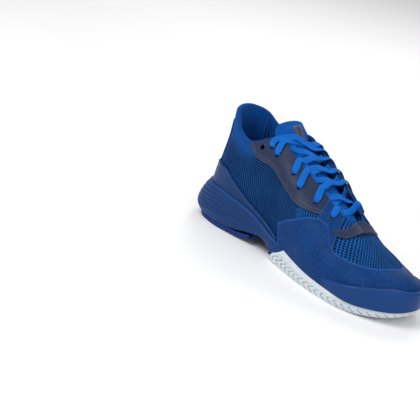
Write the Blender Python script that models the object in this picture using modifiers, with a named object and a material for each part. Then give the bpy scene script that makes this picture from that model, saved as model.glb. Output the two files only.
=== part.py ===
"""A laced left court shoe, built as its separate soles, shells, linings, tongue, lace and insole.

+X points to the toe, +Y to the outer (lateral) side of the foot, +Z up. The origin is under the middle of the
shoe, on the ground. The upper is one smooth surface through four rows of thirteen stations a side, from heel to
toe, and every layer of it is a stretch of that surface, offset in or out along its normal.
"""
import math

import bmesh
import bpy
import numpy as np
from mathutils import Matrix, Vector

MM = 0.001

# Driving dimensions, in metres.
SHOE_LENGTH = 0.290
SHOE_WIDTH = 0.107
UPPER_HEIGHT = 0.125
EYELET_RADIUS = 0.0026
LACE_RADIUS = 0.0012

# The rows below are drawn for the size above; another size stretches them.
STRETCH = np.array([SHOE_LENGTH / 0.290, SHOE_WIDTH / 0.107, UPPER_HEIGHT / 0.125])
# Moves the middle of the box to the origin.
CENTRE = np.array([-1.94, 1.16, 0.0]) * MM

# Rows of the upper in millimetres, from the feather line up, at stations from the heel to the toe.
MEDIAL_ROWS = [
    [(-127, 0, 32), (-125, -16, 32), (-115, -27, 31), (-95, -32, 30), (-64, -33, 29), (-30, -33, 27),
     (5, -39, 19), (40, -47.5, 14.5), (72, -50, 12), (99, -46, 10.5), (121, -35, 11.5), (134.5, -21, 13),
     (140.5, -2, 15)],
    [(-125, 0, 58), (-122, -16, 58), (-113, -27, 57), (-94, -33, 55), (-66, -34, 54), (-34, -34, 52),
     (-2, -40, 46), (33, -48, 39), (67, -50, 34), (97, -45, 31), (118.5, -33.5, 31), (133.5, -18, 33),
     (139, -2, 34)],
    [(-123, 0, 94), (-120, -13, 94), (-111, -24, 92), (-95, -31, 88), (-73, -33, 86), (-45, -31, 92),
     (-14, -33, 82), (20, -37, 66), (54, -36, 54), (84, -31, 47), (106, -23, 43), (121, -12, 42), (126, -1, 42)],
    [(-124, 0, 125), (-121, -13, 123), (-111, -23, 116), (-99, -28, 107), (-79, -30, 102), (-51, -21, 116),
     (-22, -18, 103), (12, -15, 87), (42, -12, 72), (60, 0, 63), (84, 0, 53), (101, 0, 47), (107, 0, 45)],
]
LATERAL_ROWS = [
    [(-127, 0, 32), (-125, 16, 32), (-115, 27, 31), (-95, 33, 30), (-64, 36, 29), (-30, 39, 27),
     (5, 43.5, 19), (40, 48.5, 14.5), (72, 48, 12), (99, 42, 10.5), (121, 31, 11.5), (134.5, 16, 13),
     (140.5, -2, 15)],
    [(-125, 0, 58), (-122, 16, 58), (-113, 27, 57), (-94, 34, 55), (-66, 37, 52), (-33, 39, 48),
     (0, 43, 41), (35, 48, 34), (68, 47, 30), (97, 41, 28), (118.5, 30, 29), (133.5, 15, 32), (139, -2, 34)],
    [(-123, 0, 94), (-120, 13, 94), (-111, 24, 92), (-95, 31, 88), (-73, 34, 84), (-44, 33, 86),
     (-14, 36, 78), (20, 37, 62), (54, 34, 49.5), (84, 28, 42), (106, 19, 40), (121, 9, 40), (126, -1, 42)],
    [(-124, 0, 125), (-121, 13, 124), (-110, 24, 120), (-97, 29, 111), (-78, 31, 102), (-50, 24, 116),
     (-20, 22, 105), (14, 19, 90), (43, 14, 73.5), (60, 0, 63), (84, 0, 53), (101, 0, 47), (107, 0, 45)],
]
# The edge of the sole on the ground, and the widest line of its side.
GROUND_MEDIAL = [(-136, 0, 6), (-133, -15, 3.5), (-122, -27, 0), (-98, -33, 0), (-65, -33, 2.5), (-36, -32, 9),
                 (-8, -38, 1), (34, -48, 0), (69, -51, 0), (98, -47, 1), (120, -36, 3.5), (134, -22, 6.5),
                 (141, -2, 9)]
GROUND_LATERAL = [(-136, 0, 6), (-133, 15, 3.5), (-122, 27, 0), (-98, 34, 0), (-65, 36, 2.5), (-36, 38, 9),
                  (-8, 42, 1), (34, 49, 0), (69, 49, 0), (98, 43, 1), (120, 32, 3.5), (134, 17, 6.5),
                  (141, -2, 9)]
SIDE_MEDIAL = [(-142, 0, 18), (-139, -18, 18), (-127, -32, 18), (-98, -38, 19), (-65, -37, 20), (-32, -36, 18),
               (0, -41, 12), (37, -50, 9), (71, -52.5, 7), (99, -48.5, 6.5), (122, -37, 8), (136.5, -22.5, 10.5),
               (144, -2, 12)]
SIDE_LATERAL = [(-142, 0, 18), (-139, 18, 18), (-127, 32, 18), (-98, 39, 19), (-65, 41, 20), (-32, 42, 18),
                (0, 45, 12), (37, 51, 9), (71, 50.5, 7), (99, 44.5, 6.5), (122, 33, 8), (136.5, 17.5, 10.5),
                (144, -2, 12)]

LAST_STATION = 12
THROAT_STATION = 9
RING = 2 * LAST_STATION

# Stations where the layers have their cross lines.
STATIONS = [0, 0.03, 0.5, 1, 1.5, 2, 2.5, 3, 3.5, 4, 4.05, 4.3, 4.6, 5, 5.5, 5.6, 6, 6.5, 6.53, 7, 7.4, 7.75, 7.9,
            8, 8.05, 8.5, 9, 9.5, 10, 10.5, 11, 11.5, 12]

# Lines along the upper, as (station, height share) pairs.
FEATHER = [(0, 0.03), (5, 0.03), (6, 0.06), (7, 0.10), (8, 0.12), (12, 0.12)]
CAGE_AND_MUDGUARD_TOP = [(0, 0.38), (2, 0.42), (2.8, 0.43), (3.3, 0.375), (3.75, 0.30), (4.2, 0.225), (4.6, 0.16),
                         (5.5, 0.16), (5.6, 0.27), (6, 0.38), (6.5, 0.49), (7, 0.645), (7.4, 0.75), (7.75, 0.77),
                         (7.9, 0.63), (8.15, 0.556), (8.5, 0.565), (9, 0.60), (9.5, 0.64), (10, 0.69),
                         (10.5, 0.76), (11, 0.82), (12, 0.90)]
BUMPER_TOP = [(7.75, 0.13), (8, 0.16), (8.5, 0.22), (9, 0.28), (9.5, 0.32), (10, 0.345), (10.5, 0.37), (11, 0.36),
              (11.5, 0.33), (12, 0.32)]
EYESTAY_LOW = [(4, 0.94), (4.05, 0.90), (4.3, 0.71), (4.6, 0.655), (5, 0.64), (5.6, 0.60), (6.2, 0.58),
               (6.6, 0.62), (7, 0.70), (7.4, 0.79), (7.75, 0.81), (8, 0.81)]
LIP_TOP = [(0, 0.10), (2, 0.14), (3, 0.17), (3.5, 0.15), (4.5, 0.11), (4.8, 0.04), (5.3, 0.005), (12, 0.0)]
# The eyelets of each side, top one first.
EYELETS = {
    -1: [(4.5, 0.87), (4.85, 0.87), (5.15, 0.80), (6.0, 0.82), (6.35, 0.76), (7.02, 0.83), (7.7, 0.88)],
    1: [(5.0, 0.86), (5.6, 0.84), (5.95, 0.84), (6.3, 0.83), (6.65, 0.83), (7.05, 0.84), (7.72, 0.88)],
}

# Lines of the lattice, counted from the lower edge.
FEATHER_LINE, BUMPER_LINE, MUDGUARD_LINE, EYESTAY_LINE, QUARTER_LINE, FACING_LINE, TOP = 1, 2, 4, 6, 7, 8, 10

# Offsets of the layers' outer faces from the upper's surface, and their thicknesses.
TEXTILE = (0.0, 1.2 * MM)
OVERLAY = (1.5 * MM, 1.0 * MM)
CAGE = (3.0 * MM, 2.5 * MM)
BUMPER = (5.4 * MM, 3.1 * MM)
BAR = (1.8 * MM, 1.0 * MM)
COUNTER = (-1.6 * MM, 1.4 * MM)
PUFF = (-1.6 * MM, 0.6 * MM)
LINING_THICKNESS = 0.9 * MM
GAP = 0.4 * MM


def collection(name):
    """A new collection in the scene."""
    made = bpy.data.collections.new(name)
    bpy.context.scene.collection.children.link(made)
    return made


def clear_scene():
    for obj in list(bpy.data.objects):
        bpy.data.objects.remove(obj, do_unlink=True)


def material(name, colour, roughness, metallic=0.0):
    made = bpy.data.materials.new(name)
    made.use_nodes = True
    shader = made.node_tree.nodes["Principled BSDF"]
    shader.inputs["Base Color"].default_value = (*colour, 1.0)
    shader.inputs["Roughness"].default_value = roughness
    shader.inputs["Metallic"].default_value = metallic
    made.diffuse_color = (*colour, 1.0)
    return made


def add_mesh(name, points, faces, skin, into):
    """A mesh object from points and faces, with coincident points made one."""
    mesh = bpy.data.meshes.new(name)
    mesh.from_pydata([tuple(map(float, point)) for point in points], [], faces)
    work = bmesh.new()
    work.from_mesh(mesh)
    bmesh.ops.remove_doubles(work, verts=work.verts, dist=1e-6)
    bmesh.ops.dissolve_degenerate(work, edges=work.edges, dist=1e-6)
    work.to_mesh(mesh)
    work.free()
    mesh.shade_smooth()
    mesh.set_sharp_from_angle(angle=math.radians(40))
    obj = bpy.data.objects.new(name, mesh)
    mesh.materials.append(skin)
    into.objects.link(obj)
    return obj


def solidify(obj, thickness, group=None):
    """Thickens an open surface towards its back."""
    modifier = obj.modifiers.new("thickness", "SOLIDIFY")
    modifier.thickness = thickness
    modifier.offset = -1
    if group is not None:
        modifier.vertex_group = group
    return obj


def boolean(obj, other, operation="DIFFERENCE"):
    modifier = obj.modifiers.new(operation.lower(), "BOOLEAN")
    modifier.operation = operation
    modifier.object = other
    modifier.solver = "EXACT"


def catmull(before, start, end, after, share):
    """A point between start and end on the smooth curve through the four points."""
    return 0.5 * (
        2 * start
        + (end - before) * share
        + (2 * before - 5 * start + 4 * end - after) * share**2
        + (3 * start - before - 3 * end + after) * share**3
    )


def ring_of(medial, lateral):
    """Medial stations heel to toe, then lateral stations back to the heel, in metres."""
    return np.array(list(medial) + list(lateral)[-2:0:-1], float) * MM * STRETCH + CENTRE


def on_ring(ring, where):
    """Points on the closed smooth curve through a ring, at places counted in stations."""
    where = np.mod(np.asarray(where, float), RING)
    index = np.floor(where).astype(int)
    share = (where - index)[..., None]
    return catmull(*(ring[(index + step) % RING] for step in (-1, 0, 1, 2)), share)


def station_of(where):
    where = np.mod(where, RING)
    return np.minimum(where, RING - where)


ROWS = [ring_of(medial, lateral) for medial, lateral in zip(MEDIAL_ROWS, LATERAL_ROWS)]
GROUND = ring_of(GROUND_MEDIAL, GROUND_LATERAL)
SIDE = ring_of(SIDE_MEDIAL, SIDE_LATERAL)


def upper_point(where, height):
    """Points of the upper's surface at a place round it and a share of its height."""
    where = np.asarray(where, float)
    height = np.broadcast_to(np.asarray(height, float), where.shape)
    rows = [on_ring(row, where) for row in ROWS]
    on_ridge = (station_of(where) >= THROAT_STATION)[..., None]
    rows[3] = np.where(on_ridge, (rows[3] + on_ring(ROWS[3], -where)) / 2, rows[3])
    opposite = on_ring(ROWS[2], -where)
    over_ridge = np.stack([2 * rows[3][..., 0] - rows[2][..., 0], opposite[..., 1], opposite[..., 2]], -1)
    closed = np.clip(station_of(where) - (THROAT_STATION - 1), 0, 1)[..., None]
    above = closed * over_ridge + (1 - closed) * (2 * rows[3] - rows[2])
    ladder = np.stack([2 * rows[0] - rows[1], *rows, above])
    scaled = np.clip(height * 3, 0, 3 - 1e-9)
    index = np.floor(scaled).astype(int)
    share = (scaled - index)[..., None]
    picked = [np.take_along_axis(ladder, (index + step)[None, ..., None], 0)[0] for step in range(4)]
    return catmull(*picked, share)


def side_normal(where, height):
    """The outward normal of one side of the upper."""
    step_along, step_up = 0.02, 0.01
    along = upper_point(where + step_along, height) - upper_point(where - step_along, height)
    high, low = np.minimum(height + step_up, 1.0), np.maximum(height - step_up, 0.0)
    up = upper_point(where, high) - upper_point(where, low)
    normal = np.cross(along, up)
    return normal / np.linalg.norm(normal, axis=-1, keepdims=True)


def upper_normal(where, height):
    """The outward normal of the upper's surface, shared by the two sides where they meet at the ridge."""
    height = np.clip(np.broadcast_to(height, np.shape(where)), 0.0, 1.0)
    on_ridge = ((height >= 1) & (station_of(where) >= THROAT_STATION))[..., None]
    own, opposite = side_normal(where, height), side_normal(-where, height)
    normal = np.where(on_ridge, own + opposite, own)
    return normal / np.linalg.norm(normal, axis=-1, keepdims=True)


def offset_point(where, height, offset):
    """Points that stand off the upper's surface by an offset."""
    where, height = np.broadcast_arrays(np.asarray(where, float), np.asarray(height, float))
    offset = np.asarray(offset, float)
    return upper_point(where, height) + upper_normal(where, height) * offset[..., None]


def table(pairs, station):
    return np.interp(station, [pair[0] for pair in pairs], [pair[1] for pair in pairs])


def lattice_heights(station):
    """The height shares of the lattice's lines at a station."""
    feather = table(FEATHER, station)
    middle = table(CAGE_AND_MUDGUARD_TOP, station)
    bumper = table(BUMPER_TOP, station) if station >= BUMPER_TOP[0][0] else feather + (middle - feather) * 0.45
    if EYESTAY_LOW[0][0] <= station <= EYESTAY_LOW[-1][0]:
        eyestay = table(EYESTAY_LOW, station)
    else:
        eyestay = middle + (1 - middle) * 0.45
    quarter = eyestay + min(0.06, (1 - eyestay) * 0.4)
    facing = quarter + 0.02
    return [0, feather, bumper, (bumper + middle) / 2, middle, (middle + eyestay) / 2, eyestay, quarter, facing,
            (facing + 1) / 2, 1]


def place(side, station):
    """Where a station lies round the ring: the medial side is -1 and the lateral side +1."""
    return float(station) if side < 0 else float(RING - station)


def shell(name, cells, outer, thickness, skin, into):
    """A layer of the upper.

    cells(side, station, line) says whether the lattice cell that starts there belongs to the layer, and outer is
    its outer face's offset, a number or a function of station and line.
    """
    points, faces, index = [], [], {}

    def corner(side, number, line):
        key = (side, number, line)
        if key not in index:
            station = STATIONS[number]
            height = lattice_heights(station)[line]
            offset = outer(station, line) if callable(outer) else outer
            points.append(offset_point(place(side, station), height, offset))
            index[key] = len(points) - 1
        return index[key]

    for side in (-1, 1):
        for number, station in enumerate(STATIONS[:-1]):
            for line in range(TOP):
                if not cells(side, station, line):
                    continue
                loop = [corner(side, number, line), corner(side, number + 1, line),
                        corner(side, number + 1, line + 1), corner(side, number, line + 1)]
                faces.append(loop if side < 0 else loop[::-1])
    return solidify(add_mesh(name, points, faces, skin, into), thickness)


def loft(name, loops, skin, into, cap_ends=(True, True)):
    """A closed body through closed loops of equal length, listed so that the first is the lower or rear one."""
    count = len(loops[0])
    points = [point for loop in loops for point in loop]
    faces = []
    for number in range(len(loops) - 1):
        for step in range(count):
            after = (step + 1) % count
            low, high = number * count, (number + 1) * count
            faces.append([low + step, low + after, high + after, high + step])
    if cap_ends[0]:
        faces.append(list(range(count))[::-1])
    if cap_ends[1]:
        last = (len(loops) - 1) * count
        faces.append([last + step for step in range(count)])
    return add_mesh(name, points, faces, skin, into)


def sole_body(name, rings, skin, into):
    """A body between rings that run round the sole, from its lower face's edge to its upper face's edge."""
    count = len(rings[0])
    points = [point for ring in rings for point in ring]
    faces = []
    for number in range(len(rings) - 1):
        for step in range(count):
            after = (step + 1) % count
            low, high = number * count, (number + 1) * count
            faces.append([low + step, low + after, high + after, high + step])
    last = (len(rings) - 1) * count
    for step in range(count // 2):
        across = [step, step + 1, (count - step - 1) % count, (count - step) % count]
        across = list(dict.fromkeys(across))
        faces.append(across[::-1])
        faces.append([last + number for number in across])
    return add_mesh(name, points, faces, skin, into)


RING_PLACES = np.arange(0, RING, 0.5)
RING_STATIONS = station_of(RING_PLACES)


def ground_ring(where):
    """The sole's edge on the ground: smooth in plan, with straight rises so that the flat stretches stay flat."""
    points = on_ring(GROUND, where)
    heights = np.append(GROUND[:, 2], GROUND[0, 2])
    points[..., 2] = np.interp(np.mod(where, RING), np.arange(RING + 1), heights)
    return points


def outward(points, distance):
    """Ring points moved outwards in plan, square to the ring."""
    along = np.roll(points, -1, 0) - np.roll(points, 1, 0)
    normal = np.stack([along[:, 1], -along[:, 0], np.zeros(len(points))], -1)
    normal /= np.linalg.norm(normal, axis=1, keepdims=True)
    return points + normal * np.asarray(distance, float).reshape(-1, 1)


def at_height(points, height):
    moved = points.copy()
    moved[:, 2] = height
    return moved


FOREFOOT = np.clip((RING_STATIONS - 5.0) / 0.5, 0, 1)
SOLE_THICKNESS = 4.5 * MM
WALL_RISE = [(5.5, 0.2), (6, 12), (6.5, 40), (12, 40)]
UNDER_RISE = np.interp(RING_STATIONS, [0, 1.5, 2, 3.5, 4.2, 5.2, 5.9], [1.2, 0.6, 0, 0, 2.5, 2.5, 0]) * MM


def footbed_ring(offset):
    """The line where the upper's textile ends, with an offset from the surface."""
    heights = table(FEATHER, RING_STATIONS)
    return offset_point(RING_PLACES, heights, np.full(len(RING_PLACES), offset))


FOOTBED = footbed_ring(0.0)
FLOOR_HEIGHT = FOOTBED[:, 2] - 3.4 * MM


def make_midsole(skin, into):
    """Foam from the outsole up to the footbed, with a lip that cups the heel."""
    ground = ground_ring(RING_PLACES)
    edge = offset_point(RING_PLACES, 0.0, np.full(len(RING_PLACES), 0.0))
    mix = FOREFOOT[:, None]
    under_heel = at_height(outward(ground, 1.0 * MM), ground[:, 2] + SOLE_THICKNESS + GAP + UNDER_RISE)
    under_toe = at_height(outward(edge, -2.2 * MM), ground[:, 2] + SOLE_THICKNESS + GAP)
    side_heel = on_ring(SIDE, RING_PLACES)
    side_toe = at_height(outward(edge, -0.6 * MM), np.minimum(edge[:, 2] - 1 * MM, FLOOR_HEIGHT - 1 * MM))
    lip = table(LIP_TOP, RING_STATIONS)
    lip_outer = offset_point(RING_PLACES, lip, np.full(len(RING_PLACES), 5.2 * MM))
    lip_inner = offset_point(RING_PLACES, lip, np.full(len(RING_PLACES), 3.5 * MM))
    toe_rim = at_height(outward(edge, -0.8 * MM), FLOOR_HEIGHT)
    floor_heel = at_height(outward(edge, 3.3 * MM), FLOOR_HEIGHT)
    rings = [
        under_heel * (1 - mix) + under_toe * mix,
        side_heel * (1 - mix) + side_toe * mix,
        lip_outer * (1 - mix) + toe_rim * mix,
        lip_inner * (1 - mix) + outward(toe_rim, -1.0 * MM) * mix,
        floor_heel * (1 - mix) + outward(toe_rim, -2.0 * MM) * mix,
    ]
    return sole_body("midsole", rings, skin, into)


def make_strobel(skin, into):
    rim = footbed_ring(-0.4 * MM)
    rings = [at_height(rim, FOOTBED[:, 2] - 2.4 * MM), at_height(rim, FOOTBED[:, 2] - 0.5 * MM)]
    return sole_body("strobel_board", rings, skin, into)


def make_insole(foam_skin, cover_skin, into):
    """The loose foot bed: a foam body and its cloth cover, both hinged at the toe end."""
    rim = footbed_ring(-7.4 * MM)
    base = FOOTBED[:, 2] + 0.2 * MM
    thick = np.interp(RING_STATIONS, [0, 5, 12], [5.0, 4.5, 3.5]) * MM
    foam_top = at_height(outward(rim, 0.2 * MM), base + thick)
    foam = sole_body("insole_foam", [at_height(rim, base), foam_top], foam_skin, into)
    cover_low = at_height(foam_top, base + thick + GAP)
    cover_top = at_height(foam_top, base + thick + GAP + 0.9 * MM)
    cover = sole_body("insole_cover", [cover_low, cover_top], cover_skin, into)
    return foam, cover


def sole_rows(first, last, step):
    """Stations of the sole from one to another."""
    return np.arange(first, last + step / 2, step)


def section_points(station):
    """Ground, side and upper edge points of both sides at a station."""
    found = {}
    for side in (-1, 1):
        where = np.array([place(side, station)])
        found[side] = (ground_ring(where)[0], on_ring(SIDE, where)[0], upper_point(where, np.array([0.0]))[0],
                       upper_normal(where, np.array([0.0]))[0])
    return found


def make_outsole_forefoot(skin, into, grooves, rear_cut):
    """White rubber: a floor with a side wall that wraps the midsole up to the mudguard."""
    loops = []
    for station in sole_rows(5.0, 12.0, 0.5):
        loop = []
        for side in (-1, 1):
            ground, bulge, edge, normal = section_points(station)[side]
            flat = Vector((normal[0], normal[1], 0)).normalized()
            level = np.array([flat.x, flat.y, 0.0])
            floor = ground[2] + SOLE_THICKNESS
            top = min(edge[2] - 0.9 * MM, floor + table(WALL_RISE, station) * MM)
            inner = edge + level * 0.1 * MM
            points = [
                np.array([*(edge - level * 1.8 * MM)[:2], floor]),
                np.array([*inner[:2], min(floor + 1 * MM, (floor + top) / 2)]),
                np.array([*inner[:2], top]),
                np.array([*(edge + level * 2.0 * MM)[:2], top]),
                np.array([*bulge[:2], min(bulge[2], (ground[2] + top) / 2)]),
                ground,
            ]
            loop += points if side < 0 else points[::-1]
        loops.append(loop[::-1])
    body = loft("outsole_forefoot", loops, skin, into, cap_ends=(True, False))
    boolean(body, rear_cut)
    boolean(body, grooves)
    return body


def make_outsole_heel(skin, into, channel):
    """Blue rubber under the heel, with its rear edge bevelled and a channel that opens forwards."""
    loops = []
    for station in sole_rows(0.0, 4.5, 0.5):
        loop = []
        for side in (-1, 1):
            where = np.array([place(side, station)])
            ground = ground_ring(where)[0]
            top = ground + np.array([0, 0, SOLE_THICKNESS])
            points = [top, ground]
            loop += points if side < 0 else points[::-1]
        loops.append(loop[::-1])
    body = loft("outsole_heel", loops, skin, into, cap_ends=(False, True))
    boolean(body, channel)
    return body


def prism(name, outline, low, high, into, skin):
    """An upright prism on an outline given in millimetres."""
    outline = [np.array([x, y, 0.0]) * MM * STRETCH + CENTRE for x, y in outline]
    loops = [[point + np.array([0, 0, height]) for point in outline] for height in (low, high)]
    return loft(name, loops, skin, into)


def as_cutter(obj):
    obj.hide_render = True
    obj.display_type = "WIRE"
    return obj


GROOVE_LINES = [
    [(119, -31), (105, -27), (87, -22), (59, -15), (30, -11), (5, -12), (-14, -17)],
    [(126, 5), (108, 9), (87, 13), (54, 18), (22, 18), (0, 13), (-28, 6)],
    [(75, -44), (82, -34), (88, -22), (91, -4), (87, 13), (82, 28), (80, 40)],
    [(18, -40), (22, -32), (28, -11), (27, 4), (20, 18), (10, 38), (-2, 60)],
]


def strip(name, line, half_width, low, high, skin, into, trim=0.0):
    """A strip that follows the ground from low to high above it, with one half width or one for each point."""
    line = np.array([[x, y, 0.0] for x, y in line]) * MM * STRETCH + CENTRE
    for end, next_in in ((0, 1), (-1, -2)):
        step = line[next_in] - line[end]
        line[end] += step / np.linalg.norm(step) * trim
    widths = np.broadcast_to(half_width, len(line))
    loops = []
    for number, point in enumerate(line):
        ahead = line[min(number + 1, len(line) - 1)] - line[max(number - 1, 0)]
        square = np.array([-ahead[1], ahead[0], 0.0]) / np.hypot(ahead[0], ahead[1]) * widths[number]
        rise = ground_height(point[0])
        up = np.array([0, 0, 1.0])
        loops.append([point + square + up * (rise + low), point + square + up * (rise + high),
                      point - square + up * (rise + high), point - square + up * (rise + low)])
    return loft(name, loops, skin, into)


def ground_height(x):
    """The height of the sole's ground face at a distance along the shoe."""
    order = GROUND[: LAST_STATION + 1]
    return float(np.interp(x, order[:, 0], order[:, 2]))


def joined(name, pieces, skin, into):
    """One body out of several that overlap."""
    first, rest = pieces[0], pieces[1:]
    for piece in rest:
        boolean(first, piece, "UNION")
    graph = bpy.context.evaluated_depsgraph_get()
    mesh = bpy.data.meshes.new_from_object(first.evaluated_get(graph))
    made = bpy.data.objects.new(name, mesh)
    into.objects.link(made)
    for piece in pieces:
        bpy.data.objects.remove(piece, do_unlink=True)
    return made


def make_grooves(name, half_width, low, high, skin, into, trim=0.0, clip=None):
    pieces = [strip(f"{name}_{number}", line, half_width, low, high, skin, into, trim)
              for number, line in enumerate(GROOVE_LINES)]
    made = joined(name, pieces, skin, into)
    if clip is not None:
        boolean(made, clip, "INTERSECT")
    return made


def make_inlay_clip(into, skin):
    """Bounds the groove inlays to the forefoot, a little inside the sole's edge."""
    inset = outward(ground_ring(RING_PLACES), -3.5 * MM)
    inset = inset[inset[:, 0] > 1 * MM]
    loops = [at_height(inset, height) for height in (-3 * MM, 30 * MM)]
    return as_cutter(loft("inlay_clip", [list(loop) for loop in loops], skin, into))


def make_eyelet_cutters(into, skin):
    """One cutter a side, with a round bar through each eyelet."""
    cutters = {}
    for side in (-1, 1):
        work = bmesh.new()
        for station, height in EYELETS[side]:
            where = np.array([place(side, station)])
            centre = Vector(upper_point(where, np.array([height]))[0])
            normal = Vector(upper_normal(where, np.array([height]))[0])
            turn = normal.to_track_quat("Z", "Y").to_matrix().to_4x4()
            bmesh.ops.create_cone(work, cap_ends=True, segments=8, radius1=EYELET_RADIUS, radius2=EYELET_RADIUS,
                                  depth=9 * MM, matrix=Matrix.Translation(centre) @ turn)
        mesh = bpy.data.meshes.new("eyelet_cutter")
        work.to_mesh(mesh)
        work.free()
        cutter = bpy.data.objects.new("eyelet_cutter", mesh)
        into.objects.link(cutter)
        cutters[side] = as_cutter(cutter)
    return cutters


# The tongue's upper face along its middle, in millimetres, and its half width.
TONGUE_MIDDLE = [(68, 54.5), (58, 59.5), (48, 65), (38, 70.5), (25, 77.5), (12, 84.5), (-5, 93), (-22, 101.5),
                 (-32, 107.5), (-41, 114), (-48, 120.5), (-56, 128)]
TONGUE_HALF_WIDTH = [(-60, 19), (-48, 17.8), (-41, 17.8), (-38, 23), (-20, 26), (12, 24), (42, 20), (68, 15)]
TONGUE_THICKNESS = [(-60, 7), (-41, 7), (-20, 5), (20, 4), (68, 2.5)]
TONGUE_FOLD_X = -41.5
TONGUE_LEAN = 2.0


def tongue_middle(x):
    order = sorted(TONGUE_MIDDLE)
    return np.interp(x, [p[0] for p in order], [p[1] for p in order])


def tongue_point(x, share, lift=0.0):
    """A point of the tongue's upper face in metres: x in millimetres, share from -1 to +1 across."""
    y = share * table(TONGUE_HALF_WIDTH, x)
    fall = 0.0165 * y**2 + 1.3e-5 * y**4
    lean = TONGUE_LEAN * np.interp(x, [-56, 12], [1, 0])
    return np.array([x, y + lean, tongue_middle(x) - fall + lift]) * MM * STRETCH + CENTRE


def tongue_sheet(name, rows, skin, into, across=8):
    points, faces = [], []
    columns = np.linspace(-1, 1, across + 1)
    for x, narrow in rows:
        points += [tongue_point(x, share * narrow) for share in columns]
    for row in range(len(rows) - 1):
        for column in range(across):
            low = row * (across + 1) + column
            high = low + across + 1
            faces.append([low, high, high + 1, low + 1])
    obj = add_mesh(name, points, faces, skin, into)
    group = obj.vertex_groups.new(name="padding")
    full = max(value for _, value in TONGUE_THICKNESS)
    for vertex in obj.data.vertices:
        x = (vertex.co.x - CENTRE[0]) / MM / STRETCH[0]
        group.add([vertex.index], float(table(TONGUE_THICKNESS, x)) / full, "REPLACE")
    return solidify(obj, full * MM, "padding")


def make_tongue(skin, stripe_skin, into):
    base_rows = [(x, 1.0) for x in (-41, -38, -30, -20, -8, 4, 16, 28, 40, 52, 62)] + [(68, 0.9)]
    base = tongue_sheet("tongue_base", base_rows, skin, into)
    top_rows = [(-42, 1.0), (-46, 1.0), (-50, 1.0), (-53, 0.95), (-55, 0.85), (-56, 0.7)]
    top = tongue_sheet("tongue_top", top_rows[::-1], skin, into)
    points, faces = [], []
    xs, shares = np.linspace(-54, -43.5, 5), np.linspace(-0.25, 0.45, 4)
    for x in xs:
        points += [tongue_point(x, share, 1.3) for share in shares]
    for row in range(len(xs) - 1):
        for column in range(len(shares) - 1):
            low = row * len(shares) + column
            high = low + len(shares)
            faces.append([low, high, high + 1, low + 1])
    stripe = solidify(add_mesh("tongue_stripe", points, faces, stripe_skin, into), 0.7 * MM)
    return base, top, stripe


def eyelet_frame(side, number):
    """An eyelet's centre, outward normal and the direction from it to the throat."""
    station, height = EYELETS[side][number]
    where = np.array([place(side, station)])
    centre = upper_point(where, np.array([height]))[0]
    normal = upper_normal(where, np.array([height]))[0]
    inward = upper_point(where, np.array([height + 0.03]))[0] - centre
    return centre, normal, inward / np.linalg.norm(inward)


def throat_edge(side, station, outside):
    """A point just over the throat's edge, or under it."""
    where = np.array([place(side, station)])
    edge, below = upper_point(where, np.array([1.0]))[0], upper_point(where, np.array([0.95]))[0]
    normal = upper_normal(where, np.array([1.0]))[0]
    inward = (edge - below) / np.linalg.norm(edge - below)
    return edge + (normal + inward) * 2.8 * MM if outside else edge - normal * 4.0 * MM


def lace_route():
    """The lace's middle line, from the inside of one top eyelet through the bottom bar to the other's.

    The bottom bar lies outside. Above it each half comes up through an eyelet, crosses the tongue and goes under
    the other side's edge to the next eyelet. Its last crossing goes down into the eyelet, and its end is tucked in.
    """
    outside, inside = 4.2 * MM, -4.0 * MM
    last = len(EYELETS[1]) - 1

    def through(side, number):
        """From the top of the film down through an eyelet, to the back of the facing."""
        centre, normal, inward = eyelet_frame(side, number)
        return [centre + inward * 4.5 * MM + normal * outside, centre + inward * 0.9 * MM + normal * 3.9 * MM,
                centre + normal * 0.2 * MM, centre + inward * 0.3 * MM - normal * 2.6 * MM,
                centre + inward * 2.6 * MM + normal * inside]

    def strand(side, number, start_outside, end_outside, lift):
        """Over the tongue, from one side's edge at an eyelet to the other side's edge at the next one up."""
        low, high = EYELETS[side][number][0], EYELETS[-side][number - 1][0]
        start_at, end_at = low + (high - low) * 0.15, high + (low - high) * 0.15
        start, end = throat_edge(side, start_at, start_outside), throat_edge(-side, end_at, end_outside)
        found = [start]
        falling = lift + 1.0 if end_outside else max(1.8, lift - 1.6)
        for share, rise in ((0.3, lift), (0.5, lift + 0.3), (0.7, falling)):
            x = (start + (end - start) * share - CENTRE)[0] / MM / STRETCH[0]
            across = side * (1 - 2 * share)
            found.append(tongue_point(x, across, rise))
        return found + [end]

    def climb(side, lift):
        """One half of the lace, from the outside of its bottom eyelet to its tucked end."""
        points = through(side, last)
        points += strand(side, last, False, False, lift)
        for number in range(last - 1, 1, -1):
            side = -side
            points += through(side, number)[::-1]
            points += strand(side, number, True, number == 2, lift)
        points += through(-side, 1)
        centre, normal, inward = eyelet_frame(-side, 1)
        points.append(centre + inward * 6.0 * MM + normal * (inside - 0.3 * MM))
        return points

    bar_at = EYELETS[-1][last][0] + 0.03
    bar_x = 37.0
    bar = [throat_edge(-1, bar_at, True), tongue_point(bar_x, -0.35, 2.6), tongue_point(bar_x, 0.35, 2.6),
           throat_edge(1, bar_at, True)]
    return np.array(climb(-1, 1.9)[::-1] + bar + climb(1, 4.7))


def smooth_path(points, spacing):
    """Points about a spacing apart on the smooth curve through the given ones."""
    ends = np.vstack([2 * points[0] - points[1], points, 2 * points[-1] - points[-2]])
    found = []
    for number in range(len(points) - 1):
        quad = ends[number:number + 4]
        steps = max(1, round(np.linalg.norm(quad[2] - quad[1]) / spacing))
        found += [catmull(*quad, share) for share in np.arange(steps) / steps]
    return np.array(found + [points[-1]])


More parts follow.
